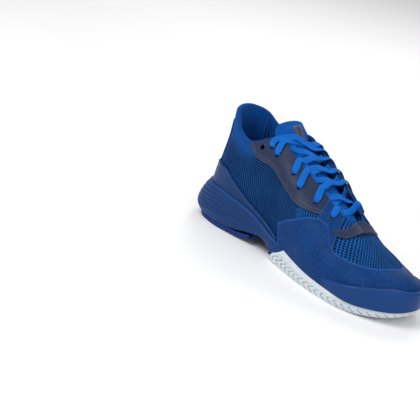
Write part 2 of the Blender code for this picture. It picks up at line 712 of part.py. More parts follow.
def make_lace(skin, into):
    curve = bpy.data.curves.new("lace", "CURVE")
    curve.dimensions = "3D"
    curve.bevel_depth = LACE_RADIUS
    curve.bevel_resolution = 2
    curve.use_fill_caps = True
    path = smooth_path(lace_route(), 12.0 * MM)
    spline = curve.splines.new("POLY")
    spline.points.add(len(path) - 1)
    for point, place_at in zip(spline.points, path):
        point.co = (*place_at, 1)
    curve.materials.append(skin)
    obj = bpy.data.objects.new("lace", curve)
    into.objects.link(obj)
    return obj


def make_throat_bar(skin, into):
    """A strip over the ridge at the base of the throat, from the mudguard's corner on one side to the other."""
    across = np.concatenate([np.linspace(0.74, 1, 9), np.linspace(1, 0.74, 9)[1:]])
    points, faces = [], []
    for share in (0.0, 0.5, 1.0):
        for number, height in enumerate(across):
            side = -1 if number <= 8 else 1
            rear, front = np.interp(height, [0.74, 1], [8.12, 9.0]), np.interp(height, [0.74, 1], [8.42, 9.35])
            station = rear + (front - rear) * share
            points.append(offset_point(place(side, station), height, BAR[0]))
    count = len(across)
    for row in range(2):
        for column in range(count - 1):
            low = row * count + column
            faces.append([low, low + count, low + count + 1, low + 1])
    return solidify(add_mesh("throat_bar", points, faces, skin, into), BAR[1])


def collar_padding(station):
    """How much of the collar's full padding there is at a station."""
    return float(np.interp(station, [0, 3.5, 4.3, 5], [1, 1, 0.45, 0]))


def lining_offset(station, line):
    deep = {5: 3.7, 6: 7.1, 7: 8.2, 8: 8.2, 9: 8.0, 10: 7.2}.get(line, 3.6)
    return -(3.6 + (deep - 3.6) * collar_padding(station)) * MM


def make_collar_foam(skin, into):
    """Foam between the quarters and the lining, thickest below the collar's edge."""
    depth = {5: 1.4, 6: 4.8, 7: 5.8, 8: 5.8, 9: 5.6, 10: 4.8}
    obj = shell("collar_foam", lambda side, station, line: station < 4.3 and line >= 5, -1.7 * MM, 5.8 * MM, skin,
                into)
    group = obj.vertex_groups.new(name="padding")
    for vertex in obj.data.vertices:
        station, line = nearest_lattice(np.array(vertex.co), -1.7 * MM)
        share = depth[line] / 5.8
        share = 1.4 / 5.8 + (share - 1.4 / 5.8) * collar_padding(station) if line > 5 else share
        group.add([vertex.index], share, "REPLACE")
    obj.modifiers["thickness"].vertex_group = "padding"
    return obj


def nearest_lattice(point, offset):
    """The station and line of the lattice corner at a point."""
    best = None
    for side in (-1, 1):
        for station in STATIONS:
            if station > 4.3:
                break
            heights = np.array(lattice_heights(station))
            corners = offset_point(np.full(len(heights), place(side, station)), heights,
                                   np.full(len(heights), offset))
            gaps = np.linalg.norm(corners - point, axis=1)
            line = int(gaps.argmin())
            if best is None or gaps[line] < best[0]:
                best = (gaps[line], station, line)
    return best[1], best[2]


def pivot(name, at, children, into):
    """An empty on a joint's axis that carries the pieces of the moving body."""
    empty = bpy.data.objects.new(name, None)
    empty.location = at
    into.objects.link(empty)
    for child in children:
        child.parent = empty
        child.matrix_parent_inverse = Matrix.Translation(at).inverted()
    return empty


def main():
    clear_scene()
    shoe = collection("court_shoe")
    cutters = collection("cutters")
    white = material("white_rubber", (0.70, 0.74, 0.76), 0.55)
    blue_rubber = material("blue_rubber", (0.02, 0.09, 0.30), 0.5)
    foam = material("midsole_foam", (0.03, 0.12, 0.40), 0.45)
    plate = material("shank_plate", (0.02, 0.09, 0.33), 0.3)
    gloss = material("black_gloss", (0.01, 0.01, 0.015), 0.1)
    board = material("board", (0.5, 0.5, 0.48), 0.9)
    cage = material("cage_plastic", (0.03, 0.11, 0.38), 0.35)
    overlay = material("overlay", (0.012, 0.06, 0.27), 0.6)
    mesh = material("mesh_textile", (0.01, 0.05, 0.2), 0.8)
    lining = material("lining_textile", (0.01, 0.08, 0.33), 0.85)
    film = material("eyestay_film", (0.10, 0.09, 0.17), 0.5)
    padding = material("padding_foam", (0.7, 0.66, 0.5), 0.9)
    tongue = material("tongue_textile", (0.01, 0.15, 0.55), 0.8)
    cord = material("lace_textile", (0.01, 0.2, 0.62), 0.75)
    stiffener = material("stiffener", (0.6, 0.6, 0.58), 0.6)

    rear_cut = as_cutter(prism("rear_cut", [(-90, -75), (-18, -75), (-18, -30), (-22, -19), (-2, -11), (-16, 3),
                                            (-26, 10), (-38, 21), (-34, 34), (-20, 75), (-90, 75)],
                               -5 * MM, 40 * MM, cutters, white))
    channel = as_cutter(prism("heel_channel", [(-104, 0), (-92, -7), (-60, -17), (-40, -17), (-40, 13), (-60, 13),
                                               (-92, 5)], -5 * MM, 30 * MM, cutters, white))
    groove_cut = as_cutter(make_grooves("groove_cut", 2.5 * MM, -2 * MM, 2.8 * MM, white, cutters))
    make_outsole_forefoot(white, shoe, groove_cut, rear_cut)
    make_outsole_heel(blue_rubber, shoe, channel)
    make_grooves("outsole_grooves", 2.1 * MM, 0.5 * MM, 2.4 * MM, blue_rubber, shoe, 0.4 * MM,
                 make_inlay_clip(cutters, white))
    strip("midfoot_shank", [(-31, -2), (-36, 0), (-50, 2), (-62, 2)], np.array([10, 16, 22, 16]) * MM,
          4.9 * MM, 6.2 * MM, plate, shoe)
    strip("shank_window", [(-14, -8), (-24, -5.5), (-36, -3.5), (-50, -2.5), (-65, -2), (-88, -1)],
          np.array([3, 7, 11, 12, 10, 3]) * MM, 1.6 * MM, 3.9 * MM, gloss, shoe)
    make_midsole(foam, shoe)
    make_strobel(board, shoe)
    insole = make_insole(padding, lining, shoe)

    shell("vamp", lambda side, station, line: (station >= 6.53 and line >= FEATHER_LINE
                                               and (line < QUARTER_LINE or station >= 8.05)),
          *TEXTILE, mesh, shoe)
    shell("vamp_lining", lambda side, station, line: (station >= 5.5 and line >= FEATHER_LINE
                                                      and (line < EYESTAY_LINE or station >= 8.05)),
          -2.6 * MM, LINING_THICKNESS, lining, shoe)
    shell("collar_lining", lambda side, station, line: (station < 5 and line >= FEATHER_LINE
                                                        and (line < EYESTAY_LINE or station < 4.3)),
          lining_offset, LINING_THICKNESS, lining, shoe)
    shell("heel_counter", lambda side, station, line: station < 3.5 and FEATHER_LINE <= line < MUDGUARD_LINE,
          *COUNTER, stiffener, shoe)
    shell("toe_puff", lambda side, station, line: station >= 10 and FEATHER_LINE <= line < MUDGUARD_LINE,
          *PUFF, stiffener, shoe)
    make_collar_foam(padding, shoe)
    shell("heel_cage", lambda side, station, line: station < 4.6 and FEATHER_LINE <= line < MUDGUARD_LINE,
          *CAGE, cage, shoe)
    shell("heel_tab", lambda side, station, line: station < 1.5 and line > MUDGUARD_LINE, *OVERLAY, overlay, shoe)
    shell("mudguard", lambda side, station, line: station >= 5.6 and line < MUDGUARD_LINE, *OVERLAY, overlay, shoe)
    shell("toe_bumper", lambda side, station, line: station >= 7.9 and line < BUMPER_LINE, *BUMPER, cage, shoe)
    make_throat_bar(film, shoe)

    eyelets = make_eyelet_cutters(cutters, white)
    for side, name in ((-1, "medial"), (1, "lateral")):
        shell("quarter_" + name,
              lambda s, station, line, side=side: (s == side and 0.03 <= station < 6.5 and line >= FEATHER_LINE
                                                   and (line < QUARTER_LINE or station < 4)),
              *TEXTILE, mesh, shoe)
        facing = shell("facing_" + name,
                       lambda s, station, line, side=side: (s == side and 4.05 <= station < 8
                                                            and line >= FACING_LINE),
                       *TEXTILE, lining, shoe)
        stay = shell("eyestay_" + name,
                     lambda s, station, line, side=side: (s == side and 4.05 <= station < 7.9
                                                          and line >= EYESTAY_LINE),
                     *OVERLAY, film, shoe)
        boolean(facing, eyelets[side])
        boolean(stay, eyelets[side])

    base, top, stripe = make_tongue(tongue, film, shoe)
    make_lace(cord, shoe)

    fold_at = tongue_point(TONGUE_FOLD_X, 0.0, -float(table(TONGUE_THICKNESS, TONGUE_FOLD_X)))
    pivot("tongue_fold", Vector(fold_at), [top, stripe], shoe)
    hinge = upper_point(np.array([11.0]), np.array([0.12]))[0]
    pivot("insole_lift", Vector((hinge[0], 0.0, hinge[2])), list(insole), shoe)


main()
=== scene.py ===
"""Looks of the court shoe: dense skins, treads, laces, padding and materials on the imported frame."""
import math

import bmesh
import bpy
import numpy as np
from mathutils import Matrix, Vector


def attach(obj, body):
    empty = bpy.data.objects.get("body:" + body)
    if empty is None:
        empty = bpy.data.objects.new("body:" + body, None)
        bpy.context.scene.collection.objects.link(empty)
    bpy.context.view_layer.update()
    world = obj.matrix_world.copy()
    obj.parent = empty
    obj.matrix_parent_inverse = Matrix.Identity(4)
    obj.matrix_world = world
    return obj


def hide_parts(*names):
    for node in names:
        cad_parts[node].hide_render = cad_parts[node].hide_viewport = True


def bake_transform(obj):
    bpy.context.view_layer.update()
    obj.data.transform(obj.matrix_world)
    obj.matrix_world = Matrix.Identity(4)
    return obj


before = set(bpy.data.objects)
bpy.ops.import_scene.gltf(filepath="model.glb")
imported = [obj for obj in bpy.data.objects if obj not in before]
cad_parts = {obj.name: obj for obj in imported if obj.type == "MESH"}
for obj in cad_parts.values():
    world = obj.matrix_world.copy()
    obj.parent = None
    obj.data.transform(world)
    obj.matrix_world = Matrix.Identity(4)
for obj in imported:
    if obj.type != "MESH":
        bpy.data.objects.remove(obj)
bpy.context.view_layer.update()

MM = 0.001
CENTRE = np.array([-1.94, 1.16, 0.0]) * MM
BODY = "shoe"

# ---------------------------------------------------------------- the shoe's surface, as in the CAD source

MEDIAL_ROWS = [
    [(-127, 0, 32), (-125, -16, 32), (-115, -27, 31), (-95, -32, 30), (-64, -33, 29), (-30, -33, 27),
     (5, -39, 19), (40, -47.5, 14.5), (72, -50, 12), (99, -46, 10.5), (121, -35, 11.5), (134.5, -21, 13),
     (140.5, -2, 15)],
    [(-125, 0, 58), (-122, -16, 58), (-113, -27, 57), (-94, -33, 55), (-66, -34, 54), (-34, -34, 52),
     (-2, -40, 46), (33, -48, 39), (67, -50, 34), (97, -45, 31), (118.5, -33.5, 31), (133.5, -18, 33),
     (139, -2, 34)],
    [(-123, 0, 94), (-120, -13, 94), (-111, -24, 92), (-95, -31, 88), (-73, -33, 86), (-45, -31, 92),
     (-14, -33, 82), (20, -37, 66), (54, -36, 54), (84, -31, 47), (106, -23, 43), (121, -12, 42), (126, -1, 42)],
    [(-124, 0, 125), (-121, -13, 123), (-111, -23, 116), (-99, -28, 107), (-79, -30, 102), (-51, -21, 116),
     (-22, -18, 103), (12, -15, 87), (42, -12, 72), (60, 0, 63), (84, 0, 53), (101, 0, 47), (107, 0, 45)],
]
LATERAL_ROWS = [
    [(-127, 0, 32), (-125, 16, 32), (-115, 27, 31), (-95, 33, 30), (-64, 36, 29), (-30, 39, 27),
     (5, 43.5, 19), (40, 48.5, 14.5), (72, 48, 12), (99, 42, 10.5), (121, 31, 11.5), (134.5, 16, 13),
     (140.5, -2, 15)],
    [(-125, 0, 58), (-122, 16, 58), (-113, 27, 57), (-94, 34, 55), (-66, 37, 52), (-33, 39, 48),
     (0, 43, 41), (35, 48, 34), (68, 47, 30), (97, 41, 28), (118.5, 30, 29), (133.5, 15, 32), (139, -2, 34)],
    [(-123, 0, 94), (-120, 13, 94), (-111, 24, 92), (-95, 31, 88), (-73, 34, 84), (-44, 33, 86),
     (-14, 36, 78), (20, 37, 62), (54, 34, 49.5), (84, 28, 42), (106, 19, 40), (121, 9, 40), (126, -1, 42)],
    [(-124, 0, 125), (-121, 13, 124), (-110, 24, 120), (-97, 29, 111), (-78, 31, 102), (-50, 24, 116),
     (-20, 22, 105), (14, 19, 90), (43, 14, 73.5), (60, 0, 63), (84, 0, 53), (101, 0, 47), (107, 0, 45)],
]
GROUND_MEDIAL = [(-136, 0, 6), (-133, -15, 3.5), (-122, -27, 0), (-98, -33, 0), (-65, -33, 2.5), (-36, -32, 9),
                 (-8, -38, 1), (34, -48, 0), (69, -51, 0), (98, -47, 1), (120, -36, 3.5), (134, -22, 6.5),
                 (141, -2, 9)]
GROUND_LATERAL = [(-136, 0, 6), (-133, 15, 3.5), (-122, 27, 0), (-98, 34, 0), (-65, 36, 2.5), (-36, 38, 9),
                  (-8, 42, 1), (34, 49, 0), (69, 49, 0), (98, 43, 1), (120, 32, 3.5), (134, 17, 6.5),
                  (141, -2, 9)]
SIDE_MEDIAL = [(-142, 0, 18), (-139, -18, 18), (-127, -32, 18), (-98, -38, 19), (-65, -37, 20), (-32, -36, 18),
               (0, -41, 12), (37, -50, 9), (71, -52.5, 7), (99, -48.5, 6.5), (122, -37, 8), (136.5, -22.5, 10.5),
               (144, -2, 12)]
SIDE_LATERAL = [(-142, 0, 18), (-139, 18, 18), (-127, 32, 18), (-98, 39, 19), (-65, 41, 20), (-32, 42, 18),
                (0, 45, 12), (37, 51, 9), (71, 50.5, 7), (99, 44.5, 6.5), (122, 33, 8), (136.5, 17.5, 10.5),
                (144, -2, 12)]
LAST_STATION = 12
THROAT_STATION = 9
RING = 24

FEATHER = [(0, 0.03), (5, 0.03), (6, 0.06), (7, 0.10), (8, 0.12), (12, 0.12)]
CAGE_TOP = [(0, 0.38), (2, 0.42), (2.8, 0.43), (3.3, 0.375), (3.75, 0.30), (4.2, 0.225), (4.6, 0.16), (5.1, 0.10),
            (5.65, 0.045)]
MUDGUARD_TOP = [(5.5, 0.25), (5.6, 0.27), (6, 0.38), (6.5, 0.49), (7, 0.645), (7.4, 0.75), (7.75, 0.77),
                (7.9, 0.63), (8.15, 0.556), (8.5, 0.565), (9, 0.60), (9.5, 0.64), (10, 0.69), (10.5, 0.76),
                (11, 0.82), (12, 0.90)]
BUMPER_TOP = [(7.75, 0.13), (8, 0.16), (8.5, 0.22), (9, 0.28), (9.5, 0.32), (10, 0.345), (10.5, 0.37), (11, 0.36),
              (11.5, 0.33), (12, 0.32)]
EYESTAY_LOW = [(4, 0.94), (4.05, 0.90), (4.3, 0.71), (4.6, 0.655), (5, 0.64), (5.6, 0.60), (6.2, 0.58),
               (6.6, 0.62), (7, 0.70), (7.4, 0.79), (7.75, 0.81), (8, 0.81)]
LIP_TOP = [(0, 0.10), (2, 0.14), (3, 0.17), (3.5, 0.15), (4.5, 0.11), (4.8, 0.04), (5.3, 0.005), (12, 0.0)]
EYELETS = {
    -1: [(4.5, 0.87), (4.85, 0.87), (5.15, 0.80), (6.0, 0.82), (6.35, 0.76), (7.02, 0.83), (7.7, 0.88)],
    1: [(5.0, 0.86), (5.6, 0.84), (5.95, 0.84), (6.3, 0.83), (6.65, 0.83), (7.05, 0.84), (7.72, 0.88)],
}
EYELET_RADIUS = 2.6
UNDER_RISE = [(0, 1.2), (1.5, 0.6), (2, 0), (3.5, 0), (4.2, 2.5), (5.2, 2.5), (5.9, 0), (12, 0)]
SOLE_THICKNESS = 4.5 * MM

TONGUE_MIDDLE = [(68, 54.5), (58, 59.5), (48, 65), (38, 70.5), (25, 77.5), (12, 84.5), (-5, 93), (-22, 101.5),
                 (-32, 107.5), (-41, 114), (-48, 120.5), (-56, 128)]
TONGUE_HALF_WIDTH = [(-60, 19), (-48, 17.8), (-41, 17.8), (-38, 23), (-20, 26), (12, 24), (42, 20), (68, 15)]
TONGUE_THICKNESS = [(-60, 7), (-41, 7), (-20, 5), (20, 4), (68, 2.5)]
TONGUE_LEAN = 2.0


def catmull(before, start, end, after, share):
    return 0.5 * (2 * start + (end - before) * share + (2 * before - 5 * start + 4 * end - after) * share**2
                  + (3 * start - before - 3 * end + after) * share**3)


def unit(vectors):
    return vectors / np.maximum(np.linalg.norm(vectors, axis=-1, keepdims=True), 1e-9)


def flat_unit(vectors):
    """Level directions of length 1."""
    return unit(vectors * [1, 1, 0])


def ring_of(medial, lateral):
    return np.array(list(medial) + list(lateral)[-2:0:-1], float) * MM + CENTRE


def on_ring(ring, where):
    where = np.mod(np.asarray(where, float), RING)
    index = np.floor(where).astype(int)
    share = (where - index)[..., None]
    return catmull(*(ring[(index + step) % RING] for step in (-1, 0, 1, 2)), share)


def station_of(where):
    where = np.mod(where, RING)
    return np.minimum(where, RING - where)


ROWS = [ring_of(medial, lateral) for medial, lateral in zip(MEDIAL_ROWS, LATERAL_ROWS)]
GROUND = ring_of(GROUND_MEDIAL, GROUND_LATERAL)
SIDE = ring_of(SIDE_MEDIAL, SIDE_LATERAL)


def upper_point(where, height):
    where = np.asarray(where, float)
    height = np.broadcast_to(np.asarray(height, float), where.shape)
    rows = [on_ring(row, where) for row in ROWS]
    on_ridge = (station_of(where) >= THROAT_STATION)[..., None]
    rows[3] = np.where(on_ridge, (rows[3] + on_ring(ROWS[3], -where)) / 2, rows[3])
    opposite = on_ring(ROWS[2], -where)
    over_ridge = np.stack([2 * rows[3][..., 0] - rows[2][..., 0], opposite[..., 1], opposite[..., 2]], -1)
    closed = np.clip(station_of(where) - (THROAT_STATION - 1), 0, 1)[..., None]
    above = closed * over_ridge + (1 - closed) * (2 * rows[3] - rows[2])
    ladder = np.stack([2 * rows[0] - rows[1], *rows, above])
    scaled = np.clip(height * 3, 0, 3 - 1e-9)
    index = np.floor(scaled).astype(int)
    share = (scaled - index)[..., None]
    picked = [np.take_along_axis(ladder, (index + step)[None, ..., None], 0)[0] for step in range(4)]
    return catmull(*picked, share)


def side_normal(where, height):
    """The outward normal from two steps over the surface: 0.02 stations along and 0.01 of its height up."""
    along = upper_point(where + 0.02, height) - upper_point(where - 0.02, height)
    up = upper_point(where, np.minimum(height + 0.01, 1.0)) - upper_point(where, np.maximum(height - 0.01, 0.0))
    return unit(np.cross(along, up))


def upper_normal(where, height):
    height = np.clip(np.broadcast_to(height, np.shape(where)), 0.0, 1.0)
    on_ridge = ((height >= 1) & (station_of(where) >= THROAT_STATION))[..., None]
    own = side_normal(where, height)
    return unit(np.where(on_ridge, own + side_normal(-where, height), own))


def offset_point(where, height, offset):
    where, height = np.broadcast_arrays(np.asarray(where, float), np.asarray(height, float))
    return upper_point(where, height) + upper_normal(where, height) * np.asarray(offset, float)[..., None]


def spot(side, station, height):
    """One point of the upper and its outward normal, by side, station and height share."""
    where = np.array([station if side < 0 else RING - station], float)
    height = np.array([height])
    return upper_point(where, height)[0], upper_normal(where, height)[0]


def table(pairs, station):
    return np.interp(station, [pair[0] for pair in pairs], [pair[1] for pair in pairs])


def smoothstep(value, low, high):
    share = np.clip((value - low) / (high - low), 0, 1)
    return share * share * (3 - 2 * share)


def smooth_line(pairs, width=0.16):
    """A line's height share as a smooth function of the place round the ring."""
    grid = np.arange(-1, 13.001, 0.01)
    values = table(pairs, np.abs(grid))
    count = max(1, int(width / 0.01)) | 1
    box = np.ones(count) / count
    for _ in range(2):
        values = np.convolve(np.pad(values, count // 2, mode="edge"), box, mode="valid")
    return lambda where: np.interp(station_of(where), grid, values)


def ground_ring(where):
    points = on_ring(GROUND, where)
    heights = np.append(GROUND[:, 2], GROUND[0, 2])
    points[..., 2] = np.interp(np.mod(where, RING), np.arange(RING + 1), heights)
    return points


def tongue_middle(x):
    """The height of the tongue's upper face along its middle, smoothed over 8 mm."""
    return sum(table(TONGUE_MIDDLE[::-1], np.asarray(x, float) + shift) / 5 for shift in (-4, -2, 0, 2, 4))


def tongue_lean(x):
    """How far the tongue's middle lies to the lateral side, growing towards its tip."""
    return TONGUE_LEAN * np.interp(x, [-56, 12], [1, 0])


def tongue_fall(y):
    return 0.0165 * y**2 + 1.3e-5 * y**4


def tongue_point(x, share, lift=0.0):
    y = share * table(TONGUE_HALF_WIDTH, x)
    return np.array([x, y + tongue_lean(x), tongue_middle(x) - tongue_fall(y) + lift]) * MM + CENTRE


# ---------------------------------------------------------------- meshes


def add_object(name, data):
    obj = bpy.data.objects.new(name, data)
    bpy.context.scene.collection.objects.link(obj)
    return obj


def make_object(name, points, faces, skin, uv=None, values=None, merge=1e-5):
    """A mesh object from points and faces, with a map in millimetres and named values per point."""
    mesh = bpy.data.meshes.new(name)
    faces = np.asarray(faces, np.int32)
    size = faces.shape[1]
    mesh.vertices.add(len(points))
    mesh.vertices.foreach_set("co", np.asarray(points, np.float32).ravel())
    mesh.loops.add(faces.size)
    mesh.loops.foreach_set("vertex_index", faces.ravel())
    mesh.polygons.add(len(faces))
    mesh.polygons.foreach_set("loop_start", np.arange(0, faces.size, size, dtype=np.int32))
    mesh.polygons.foreach_set("loop_total", np.full(len(faces), size, np.int32))
    mesh.update(calc_edges=True)
    if uv is not None:
        mesh.uv_layers.new(name="UVMap").data.foreach_set("uv", np.asarray(uv, np.float32)[faces.ravel()].ravel())
    for key, value in (values or {}).items():
        mesh.attributes.new(key, "FLOAT", "POINT").data.foreach_set("value", np.asarray(value, np.float32))
    mesh.validate()
    mesh.materials.append(skin)
    mesh.shade_smooth()
    obj = add_object(name, mesh)
    if merge:
        work = bmesh.new()
        work.from_mesh(mesh)
        bmesh.ops.remove_doubles(work, verts=work.verts, dist=merge)
        work.to_mesh(mesh)
        work.free()
    return obj


def grid_faces(rows, columns, wrap=False, flip=False):
    row, column = np.meshgrid(np.arange(rows - 1), np.arange(columns if wrap else columns - 1), indexing="ij")
    row, column = row.ravel(), column.ravel()
    after = (column + 1) % columns
    faces = np.stack([row * columns + column, row * columns + after, (row + 1) * columns + after,
                      (row + 1) * columns + column], 1)
    return faces[:, ::-1] if flip else faces


def grid_object(name, points, skin, uv=None, values=None, wrap=False, flip=False, keep=None):
    """A mesh on a grid of points. keep says for each point whether its cells stay."""
    faces = grid_faces(*points.shape[:2], wrap, flip)
    if keep is not None:
        faces = faces[keep[faces].all(axis=1)]
    flat = {key: np.asarray(value).ravel() for key, value in (values or {}).items()}
    return make_object(name, points.reshape(-1, 3), faces, skin, None if uv is None else uv.reshape(-1, 2), flat)


def joined(name, grids, skin, wrap=True, flip=False, merge=1e-5):
    """One mesh from several grids of points."""
    points, faces, count = [], [], 0
    for grid in grids:
        faces.append(grid_faces(*grid.shape[:2], wrap, flip) + count)
        points.append(grid.reshape(-1, 3))
        count += len(points[-1])
    return make_object(name, np.concatenate(points), np.concatenate(faces), skin, np.zeros((count, 2)), merge=merge)


def lengths(points, axis):
    """Running length along an axis of a grid of points."""
    steps = np.linalg.norm(np.diff(points, axis=axis), axis=-1)
    zero = np.zeros_like(np.take(steps, [0], axis=axis))
    return np.concatenate([zero, np.cumsum(steps, axis=axis)], axis=axis)


EDGE_STEPS = np.array([0, 0.12, 0.3, 0.55, 0.85, 1.15, 1.5, 1.9, 2.3, 2.8]) * MM


def spread(total, pitch, ends):
    """Shares from 0 to 1 of a length at a pitch, with close ones at the ends that are on."""
    fine = EDGE_STEPS[EDGE_STEPS < total * 0.4]
    inner = np.linspace(0, total, max(3, int(total / pitch) + 1))
    steps = [fine] * ends[0] + [total - fine] * ends[1]
    if ends[0]:
        inner = inner[(inner > fine[-1] + pitch * 0.4) | (inner > total * 0.6)]
    if ends[1]:
        inner = inner[inner < total - fine[-1] - pitch * 0.4]
    return np.unique(np.round(np.concatenate([inner, *steps]) / total, 9))


def surface_grid(first, last, low, high, pitch, ends=(True, True), sides=(True, True)):
    """Places, shares and points of a stretch of the upper between two lines."""
    coarse = np.linspace(first, last, 600)
    lines = [upper_point(coarse, low(coarse)), upper_point(coarse, (low(coarse) + high(coarse)) / 2),
             upper_point(coarse, high(coarse))]
    step = np.max([np.linalg.norm(np.diff(line, axis=0), axis=1) for line in lines], axis=0)
    run = np.concatenate([[0], np.cumsum(step)])
    where = np.interp(spread(run[-1], pitch * MM, ends) * run[-1], run, coarse)
    if abs(first + last - RING) < 1e-6:
        where = np.concatenate([where[where < LAST_STATION - 0.02], [LAST_STATION]])
        where = np.concatenate([where, RING - where[-2::-1]])
    tall = np.linalg.norm(lines[2] - lines[0], axis=1).mean() * 1.1
    share = low(where) + (high(where) - low(where)) * spread(tall, pitch * MM, sides)[:, None]
    where = np.broadcast_to(where, share.shape).copy()
    return where, share, upper_point(where, share)


def round_edge(distance, radius):
    inside = np.clip(radius - distance, 0, radius)
    return np.sqrt(np.maximum(radius**2 - inside**2, 0)) - radius


def upper_uv(where, share, from_ridge=False):
    """A map of the upper in millimetres: along at mid height and up, or along the ridge and down from it."""
    ring = np.linspace(-12, 24, 1800)
    rows = np.linspace(0, 1, 24)
    columns = np.broadcast_to(where[0], (len(rows), where.shape[1]))
    up = lengths(upper_point(columns, np.broadcast_to(rows[:, None], columns.shape)), 0)
    found = np.stack([np.interp(share[:, column], rows, up[:, column]) for column in range(where.shape[1])], 1)
    run = lengths(upper_point(ring, np.full(len(ring), 1.0 if from_ridge else 0.55)), 0)
    along = np.interp(where, ring, run)
    if from_ridge:
        along, found = -np.abs(along - np.interp(LAST_STATION, ring, run)), up[-1] - found
    return np.stack([along, found], -1) / MM


def nearest(gaps, chosen):
    """The least of the chosen gaps."""
    return np.min([np.ones(gaps[0].shape)] + [gap for gap, on in zip(gaps, chosen) if on], axis=0)


HOLE_DEPTH = 6 * MM
HOLE_SNAP = 0.55 * MM


def punch(points, holes):
    """Which points lie outside all holes. Those close outside a hole are moved onto its edge."""
    keep = np.ones(len(points), bool)
    for centre, direction, radius in holes:
        gap = points - centre
        deep = gap @ direction
        across = gap - deep[:, None] * direction
        distance = np.linalg.norm(across, axis=1)
        level = np.abs(deep) < HOLE_DEPTH
        inside = (distance < radius) & level
        near = (distance < radius + HOLE_SNAP) & level & ~inside
        keep &= ~inside
        points[near] += across[near] / distance[near][:, None] * (radius - distance[near])[:, None] * 0.999
    return keep


def layer(node, name, first, last, low, high, outer, depth, skin, pitch=1.2, edge=0.6, ends=(True, True),
          sides=(True, True), rims=(), rim_sides=(False, True), rim_ends=(False, False), rim_width=0.38,
          values=None, holes=(), facing=1, from_ridge=False):
    """The seen face of a layer with rounded edges and a skirt that goes back behind it, shown for a CAD node."""
    where, share, base = surface_grid(first, last, low, high, pitch, ends, sides)
    normal = upper_normal(where, share)
    along, up = lengths(base, 1), lengths(base, 0)
    level = (outer(where) if callable(outer) else np.full(where.shape, outer)) * MM
    gaps = [up, up[-1:] - up, along, along[:, -1:] - along]
    far, rim_gap = nearest(gaps, (*sides, *ends)), nearest(gaps, (*rim_sides, *rim_ends))
    # the rim value raises a low ridge near the chosen edges; grained skins also paint a highlight along it
    rim = np.max([np.zeros(far.shape)] + [np.exp(-((rim_gap / MM - at) / rim_width) ** 2) for at in rims], axis=0)
    points = base + normal * (level + facing * (round_edge(far, edge * MM) + rim * 0.35 * MM))[..., None]
    extra = {"rim": rim, **(values(where, share) if values else {})}
    pads = (int(sides[0]), int(sides[1])), (int(ends[0]), int(ends[1]))
    skirt, down, uv = (np.pad(grid, (*pads, (0, 0)), mode="edge")
                       for grid in (base, normal, upper_uv(where, share, from_ridge)))
    whole = skirt + down * (np.pad(level, pads, mode="edge") - facing * depth * MM)[..., None]
    rows, columns = where.shape
    whole[pads[0][0]:pads[0][0] + rows, pads[1][0]:pads[1][0] + columns] = points
    extra = {key: np.pad(value, pads, mode="edge") for key, value in extra.items()}
    keep = punch(whole.reshape(-1, 3), holes) if len(holes) else None
    show(grid_object(name, whole, skin, uv, extra, keep=keep, flip=facing < 0), node)


def swept(path, facing, out, up):
    """Rings round a path, from how far each of their points lies across it and along its facing."""
    tangent = unit(np.gradient(path, axis=0))
    facing = unit(facing - (facing * tangent).sum(1, keepdims=True) * tangent)
    return path[:, None] + np.cross(tangent, facing)[:, None] * out[..., None] + facing[:, None] * up[..., None]


def show(obj, *nodes, body=BODY):
    """Hangs a piece on its body in place of the CAD nodes it stands for."""
    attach(obj, body)
    if nodes:
        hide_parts(*nodes)


# ---------------------------------------------------------------- materials


def srgb(red, green, blue):
    """A linear colour from display values of 0 to 255."""
    values = [c / 255 for c in (red, green, blue)]
    return tuple(c / 12.92 if c <= 0.04045 else ((c + 0.055) / 1.055) ** 2.4 for c in values) + (1.0,)


